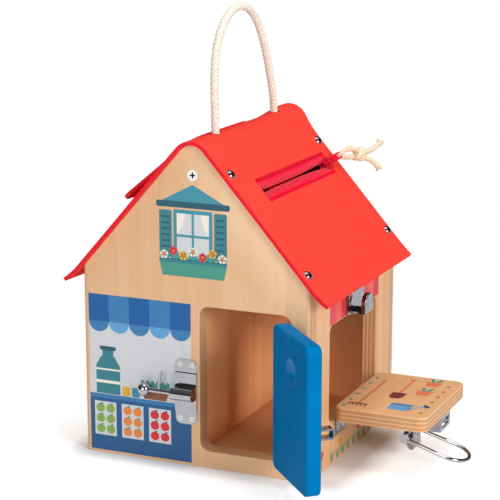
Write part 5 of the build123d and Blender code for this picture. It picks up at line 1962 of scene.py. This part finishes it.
@dataclass
class ShopFront(Print):
    """A market stall with an awning, painted beside the doorway."""

    left: float = -95.0
    right: float = -2.5
    foot: float = 2.0
    counter_top: float = 47.0
    shelf_top: float = 50.5
    wall_top: float = 113.0
    stripes: int = 5
    awning_low: float = 112.4
    awning_high: float = 135.0
    scallop_drop: float = 9.0
    crates: tuple[tuple[float, Hue, Hue], ...] = (
        (-91.0, Hue.APPLE, Hue.LEAF),
        (-66.0, Hue.ORANGE, Hue.LEAF),
        (-41.0, Hue.RED, Hue.DARK_TEAL),
    )
    crate_width: float = 20.0
    crate_ends: Spot = (15.0, 44.0)
    fruit_count: tuple[int, int] = (3, 2)
    first_fruit: Spot = (5.4, 20.4)
    fruit_step: Spot = (9.2, 9.0)
    fruit_size: Spot = (3.9, 3.7)
    leaf: Row = Row(1, (1.0, 3.6), (0.0, 0.0), (1.6, 0.7), 35.0)
    churn_foot: Spot = (-78.0, 51.0)
    churn_sides: Outline = ((11.0, 0.0), (11.0, 24.0), (6.0, 32.0))
    churn_neck: Point = (5.0, 32.0, 37.0)
    churn_lid: Point = (7.5, 37.0, 40.5)
    lid_round: float = 1.5
    hoops: tuple[Point, ...] = ((11.0, 9.0, 11.5), (11.0, 20.0, 21.5))
    cups: tuple[tuple[float, Hue], ...] = ((13.0, Hue.YELLOW), (22.0, Hue.WINDOW_TEAL))
    cup_size: Spot = (7.0, 8.0)
    cup_round: float = 1.2
    basket_foot: Spot = (-34.0, 51.0)
    basket_side: Outline = ((-11.0, 0.0), (9.0, 0.0), (12.0, 9.0), (-14.0, 9.0))
    greens: Row = Row(6, (-11.5, 11.5), (4.2, 0.0), (2.2, 4.6), 18.0, -7.0)

    def draw(self) -> None:
        """Lays down the stall."""
        self.box(Hue.MIST, self.left, self.counter_top, self.right, self.wall_top)
        self.box(Hue.COUNTER_BLUE, self.left, self.foot, self.right, self.counter_top)
        self.next_layer()
        self.awning()
        self.counter()
        self.churn()
        self.basket()
        self.finish()

    def awning(self) -> None:
        """Draws the striped awning and its scalloped edge."""
        wide = (self.right - self.left) / self.stripes
        for number in range(self.stripes):
            start = self.left + number * wide
            stripe, edge = (Hue.BLUE, Hue.SKY) if number % 2 else (Hue.DEEP_BLUE, Hue.BLUE)
            self.box(stripe, start, self.awning_low, start + wide, self.awning_high)
            self.scallop(edge, start, start + wide, self.awning_low, self.scallop_drop)

    def counter(self) -> None:
        """Draws the counter's top and the crates of fruit under it."""
        self.box(Hue.BLUE, self.left, self.counter_top, self.right, self.shelf_top)
        low, high = self.crate_ends
        for start, fruit, leaf in self.crates:
            self.box(Hue.MIST, start, low, start + self.crate_width, high)
            with self.on_top():
                self.fruits(start, fruit, leaf)

    def fruits(self, start: float, fruit: Hue, leaf: Hue) -> None:
        """Draws the fruit in a crate.

        Args:
            start: The crate's left side.
            fruit: The fruit's ink.
            leaf: The ink of the leaf on each.
        """
        rows, columns = self.fruit_count
        for row in range(rows):
            for column in range(columns):
                x = start + self.first_fruit[0] + column * self.fruit_step[0]
                z = self.first_fruit[1] + row * self.fruit_step[1]
                self.disc(fruit, (x, z), *self.fruit_size)
                with self.on_top():
                    self.row(leaf, self.leaf, (x, z))

    def churn(self) -> None:
        """Draws a milk churn with two cups beside it."""
        x, z = self.churn_foot
        mirrored = tuple((-out, up) for out, up in reversed(self.churn_sides))
        self.shape_at(Hue.TEAL, self.churn_foot, self.churn_sides + mirrored)
        self.band(Hue.TEAL, self.churn_foot, self.churn_neck)
        self.band(Hue.DARK_TEAL, self.churn_foot, self.churn_lid, self.lid_round)
        with self.on_top():
            for hoop in self.hoops:
                self.band(Hue.CREAM, self.churn_foot, hoop)
        wide, tall = self.cup_size
        for aside, hue in self.cups:
            self.box(hue, x + aside, z, x + aside + wide, z + tall, self.cup_round)

    def basket(self) -> None:
        """Draws a low basket of leaves behind the bolt."""
        self.shape_at(Hue.BROWN, self.basket_foot, self.basket_side)
        self.row(Hue.LEAF, self.greens, self.basket_foot)


@dataclass
class GableWindow(Print):
    """A window with shutters and a box of flowers, painted under the ridge."""

    foot: Spot = (0.0, 0.0)
    corner: float = 1.5
    surround: Point = (17.0, 170.0, 211.0)
    lintel: Point = (32.0, 212.5, 217.5)
    hood: Outline = ((-27.0, 217.5), (27.0, 217.5), (0.0, 231.5))
    shutter_sides: Spot = (18.5, 29.5)
    shutter_ends: Spot = (172.0, 210.0)
    slats: int = 7
    slat_sides: Spot = (20.5, 27.5)
    first_slat: float = 175.0
    slat_step: float = 4.8
    slat_height: float = 1.6
    pane_sides: Spot = (1.0, 14.0)
    pane_rows: tuple[Spot, ...] = ((173.0, 189.0), (191.0, 208.0))
    curtain: Outline = ((14.0, 208.0), (6.5, 208.0), (9.0, 198.0), (14.0, 191.0))
    trough: Outline = ((-27.0, 157.0), (27.0, 157.0), (30.0, 171.0), (-30.0, 171.0))
    trough_rim: Point = (29.5, 168.0, 170.5)
    leaves: int = 12
    first_leaf: Spot = (-27.5, 172.5)
    leaf_step: float = 5.0
    leaf_size: Spot = (1.6, 5.0)
    leaf_lean: float = 14.0
    blooms: int = 7
    first_bloom: Spot = (-25.5, 174.0)
    bloom_step: Spot = (8.5, 3.5)
    petal: float = 1.75
    bloom_hues: tuple[Hue, ...] = (Hue.CREAM, Hue.ROSE, Hue.YELLOW)

    def draw(self) -> None:
        """Lays down the window."""
        self.band(Hue.WINDOW_TEAL, self.foot, self.surround, self.corner)
        self.both_sides(Hue.TEAL, self.shutter_sides, self.shutter_ends, self.corner)
        self.band(Hue.DARK_TEAL, self.foot, self.lintel, self.corner)
        self.shape_at(Hue.WINDOW_TEAL, self.foot, self.hood)
        self.next_layer()
        self.panes()
        self.shutters()
        self.flower_box()
        self.finish()

    def both_sides(self, hue: Hue, sides: Spot, ends: Spot, round_by: float = 0.0) -> None:
        """Draws a rectangle left of the middle and its twin on the right.

        Args:
            hue: Their ink.
            sides: Their sides, as distances from the middle.
            ends: Their lower and upper side.
            round_by: The radius of their corners.
        """
        for side in (-1, 1):
            self.box(hue, side * sides[0], ends[0], side * sides[1], ends[1], round_by)

    def panes(self) -> None:
        """Draws the panes with a curtain at each side."""
        for ends in self.pane_rows:
            self.both_sides(Hue.MIST, self.pane_sides, ends)
        with self.on_top():
            for side in (-1, 1):
                self.shape(Hue.CREAM, [(side * out, up) for out, up in self.curtain])

    def shutters(self) -> None:
        """Draws the shutters' slats."""
        for number in range(self.slats):
            low = self.first_slat + number * self.slat_step
            self.both_sides(Hue.DARK_TEAL, self.slat_sides, (low, low + self.slat_height))

    def flower_box(self) -> None:
        """Draws the box with its leaves and flowers."""
        self.next_layer()
        for number in range(self.leaves):
            spot = (self.first_leaf[0] + number * self.leaf_step, self.first_leaf[1])
            self.disc(Hue.LEAF, spot, *self.leaf_size, self.leaf_lean * (1 - number % 3))
        self.shape_at(Hue.LEAF, self.foot, self.trough)
        self.next_layer()
        self.band(Hue.TEAL, self.foot, self.trough_rim)
        for number in range(self.blooms):
            x = self.first_bloom[0] + number * self.bloom_step[0]
            z = self.first_bloom[1] + (number % 2) * self.bloom_step[1]
            self.flower((x, z), self.petal, self.bloom_hues[number % len(self.bloom_hues)], Hue.ORANGE)


@dataclass
class SideAwning(Print):
    """A striped awning painted over the side opening, and grass at the wall's foot."""

    start: float = -57.0
    end: float = 57.0
    low: float = 113.0
    low_over_opening: float = 117.6
    high: float = 153.0
    opening: Spot = (-56.7, 53.3)
    stripes: int = 9
    hues: tuple[Hue, ...] = (Hue.ROSE, Hue.CORAL, Hue.RED)
    tufts: int = 9
    first_tuft: Spot = (-50.0, 5.5)
    tuft_step: float = 12.5
    blade_leans: tuple[float, ...] = (-16.0, 4.0, 22.0)
    blade_spread: float = 0.14
    blade_size: Spot = (0.9, 4.5)
    blooms: tuple[Hue, ...] = (Hue.ROSE, Hue.YELLOW, Hue.ROSE, Hue.CREAM)
    first_bloom: Spot = (-72.0, 14.0)
    bloom_step: float = 42.0
    petal: float = 1.7
    stalk_ends: Spot = (3.0, 12.5)
    stalk_width: float = 0.9

    def draw(self) -> None:
        """Lays down the stripes, the grass and the flowers."""
        self.awning()
        self.grass()
        self.next_layer()
        self.flowers()
        self.finish()

    def awning(self) -> None:
        """Draws the stripes, which end above the opening."""
        wide = (self.end - self.start) / self.stripes
        for number in range(self.stripes):
            left = self.start + number * wide
            over = self.opening[0] < left + wide / 2 < self.opening[1]
            low = self.low_over_opening if over else self.low
            self.box(self.hues[number % len(self.hues)], left, low, left + wide, self.high)

    def grass(self) -> None:
        """Draws the tufts of grass."""
        for number in range(self.tufts):
            spot = self.first_tuft[0] + number * self.tuft_step
            for lean in self.blade_leans:
                foot = (spot + lean * self.blade_spread, self.first_tuft[1])
                self.disc(Hue.LEAF, foot, *self.blade_size, -lean)

    def flowers(self) -> None:
        """Draws the flowers between the tufts."""
        low, high = self.stalk_ends
        for number, hue in enumerate(self.blooms):
            spot = self.first_bloom[0] + number * self.bloom_step
            self.stroke(Hue.LEAF, (spot, low), (spot, high), self.stalk_width)
            with self.on_top():
                self.flower((spot, self.first_bloom[1]), self.petal, hue, Hue.ORANGE)


@dataclass
class FlapTools(Print):
    """Garden tools painted on the flap's inner face."""

    shaft: float = 2.4
    rake_head: Spot = (118.0, -38.0)
    rake_length: float = 68.0
    rake_half: float = 8.0
    tines: int = 5
    first_tine: float = -7.0
    tine_step: float = 3.5
    tine_length: float = 6.5
    tine_width: float = 1.2
    spade_neck: Spot = (140.0, 2.0)
    spade_length: float = 38.0
    grip_half: float = 4.5
    grip_width: float = 2.2
    blade: Outline = ((-6, 0), (6, 0), (6, -11), (3, -16), (-3, -16), (-6, -11))
    can_middle: Spot = (152.0, -34.0)
    can_side: Point = (9.0, -8.0, 9.0)
    can_stripe: Point = (9.0, 5.0, 7.0)
    can_round: float = 2.0
    spout: tuple[Spot, Spot] = ((8.0, -3.0), (19.0, 9.0))
    spout_width: float = 2.2
    spout_head: Row = Row(1, (19.5, 9.5), (0.0, 0.0), (2.0, 4.2), 45.0)
    pots_at: tuple[Spot, ...] = ((158.0, 8.0), (158.0, 34.0))
    pot: Outline = ((-5.0, -6.0), (5.0, -6.0), (7.0, 6.0), (-7.0, 6.0))
    sprouts: Row = Row(2, (-3.0, 10.5), (6.0, 0.0), (1.7, 5.0), 20.0, -40.0)
    seeds: Row = Row(6, (172.0, -42.0), (0.0, 15.0), (1.3, 2.0), 0.0, 30.0)
    leaves: Row = Row(6, (108.5, -46.0), (0.0, 16.0), (1.2, 3.0), 0.0, 40.0)

    def draw(self) -> None:
        """Lays down the tools."""
        self.rake()
        self.spade()
        self.can()
        self.pots()
        self.finish()

    def rake(self) -> None:
        """Draws a rake with its handle along the flap."""
        x, y = self.rake_head
        self.stroke(Hue.SALMON, (x, y), (x, y + self.rake_length), self.shaft)
        self.stroke(Hue.MAROON, (x - self.rake_half, y), (x + self.rake_half, y), self.shaft)
        for number in range(self.tines):
            tine = x + self.first_tine + number * self.tine_step
            self.stroke(Hue.MAROON, (tine, y), (tine, y - self.tine_length), self.tine_width)

    def spade(self) -> None:
        """Draws a spade."""
        x, y = self.spade_neck
        top = y + self.spade_length
        self.stroke(Hue.SALMON, (x, y), (x, top), self.shaft)
        self.stroke(Hue.SALMON, (x - self.grip_half, top), (x + self.grip_half, top), self.grip_width)
        self.shape_at(Hue.MAROON, self.spade_neck, self.blade)

    def can(self) -> None:
        """Draws a watering can."""
        x, y = self.can_middle
        self.band(Hue.SKY, self.can_middle, self.can_side, self.can_round)
        start, end = ((x + across, y + along) for across, along in self.spout)
        self.stroke(Hue.SKY, start, end, self.spout_width)
        self.row(Hue.COUNTER_BLUE, self.spout_head, self.can_middle)
        with self.on_top():
            self.band(Hue.COUNTER_BLUE, self.can_middle, self.can_stripe)

    def pots(self) -> None:
        """Draws flower pots, seeds and leaves."""
        for place in self.pots_at:
            self.shape_at(Hue.SALMON, place, self.pot)
            self.row(Hue.LEAF, self.sprouts, place)
        self.row(Hue.BROWN, self.seeds)
        self.row(Hue.LEAF, self.leaves)


# Wood and hardware


@dataclass
class Woodwork:
    """The panels, the flap and the door."""

    # painted light: warmer, brighter tones for the right wall and the side flap, which face the key lamp
    sunlit_pale: Colour = srgb(240, 193, 144)
    sunlit_warm: Colour = srgb(232, 176, 122)
    door: DoorEnamel = DoorEnamel("door_blue", srgb(0, 118, 180), srgb(0, 104, 162), 0.42, 0.0)
    gable: Point = (0.7517, 0.6594, 178.0 * MM)
    loft: float = 165.0 * MM

    def panels(self) -> list[Plywood]:
        """The plywood of each panel, with painted light and shade by where it faces and where it is seen
        from.
        """
        painted_sunlight = {"pale": self.sunlit_pale, "warm": self.sunlit_warm}
        return [
            Plywood("front_panel", Axis.Y, Axis.Z, gable=self.gable),
            Plywood("back_panel", Axis.Y, Axis.Z, painted_indoor_light=(1.0, 0.0), dim=(0.45, 0.0), loft=self.loft),
            Plywood("right_wall", Axis.X, Axis.Z, **painted_sunlight),
            Plywood("left_wall", Axis.X, Axis.Z, painted_indoor_light=(0.0, 1.0)),
            Plywood("floor_panel", Axis.Z, Axis.Y, painted_indoor_light=(0.0, 1.0), dim=(0.0, 0.4)),
            Plywood("centre_partition", Axis.X, Axis.Z, painted_indoor_light=(1.0, 1.0)),
            Plywood("side_flap", Axis.Z, Axis.Y, **painted_sunlight),
        ]

    def build(self) -> None:
        """Dresses every wooden node."""
        for panel in self.panels():
            low, high = (corner[panel.thickness_axis.value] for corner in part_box(panel.node))
            dress(replace(panel, start=low, thickness=high - low).make(), panel.node)
        dress(SolidWood().make(), "ridge_beam", "panel_dowels")
        dress(self.door.make(), "front_door")


@dataclass
class Hardware:
    """Everything plated, and the touch fastener."""

    # painted reflections and shade: copies of one chrome tinted darker for the rivets, the latch and the
    # catch to show dark reflections, the hinge steel darkened for shade, and the zinc brightened for the
    # ridge screws
    chrome: Metal = Metal("chrome_bright", (0.46, 0.46, 0.48, 1.0), 0.07, 0.05)
    rivet_dark_chrome: Metal = Metal("chrome_rivet_painted_dark", (0.16, 0.16, 0.17, 1.0), 0.05, 0.05)
    pressed: Metal = Metal("chrome_painted_shade", (0.25, 0.25, 0.27, 1.0), 0.09, 0.05, 1.1)
    catch_dark_chrome: Metal = Metal("chrome_catch_painted_dark", (0.30, 0.30, 0.32, 1.0), 0.05, 0.05, 0.55)
    steel: Metal = Metal("hinge_steel_painted_shade", (0.26, 0.27, 0.28, 1.0), 0.22, 0.18)
    zinc: Metal = Metal("screw_zinc", (0.70, 0.70, 0.71, 1.0), 0.20, 0.12)
    lit_zinc: Metal = Metal("zinc_painted_light", (0.97, 0.97, 0.98, 1.0), 0.20, 0.12)
    loops: Tape = Tape("touch_fastener_red", srgb(150, 16, 28), srgb(96, 6, 16), 0.8 * MM)

    def build(self) -> None:
        """Dresses every node of hardware."""
        heads = tuple(corner[Axis.Y.value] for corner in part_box("ridge_screws"))
        dressed = (
            (self.rivet_dark_chrome, "roof_rivets"),
            (replace(self.lit_zinc, heads=heads), "ridge_screws"),
            (self.chrome, "bolt_plate bolt_rod bolt_tail latch_bail"),
            (self.pressed, "bolt_keeper latch_base latch_lever latch_lever_pin"),
            (self.catch_dark_chrome, "latch_catch"),
            (self.steel, "door_hinge_frame_leaves door_hinge_door_leaves door_hinge_pins"),
            (self.steel, "flap_hinge_wall_leaves flap_hinge_leaves flap_hinge_pins"),
            (self.zinc, "door_hinge_frame_screws door_hinge_door_screws bolt_plate_screws keeper_screws"),
            (self.zinc, "flap_hinge_wall_screws flap_hinge_screws latch_base_screws catch_screws"),
            (self.loops, "roof_fastener flap_fastener"),
        )
        for finish, nodes in dressed:
            dress(bpy.data.materials.get(finish.name) or finish.make(), *nodes.split())


def main() -> None:
    """Builds the studio, then every sub-assembly's looks."""
    Studio().build()
    roof = FeltRoof()
    roof.build()
    Zip(roof).build()
    Cords().build()
    Woodwork().build()
    Hardware().build()
    ShopFront("shop_print", Face.FRONT, "house").draw()
    GableWindow("window_print", Face.FRONT, "house").draw()
    SideAwning("awning_print", Face.SIDE, "house").draw()
    FlapTools("flap_print", Face.FLAP, "side_flap").draw()
    deselect()
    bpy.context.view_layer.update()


if __name__ == "__main__":
    main()
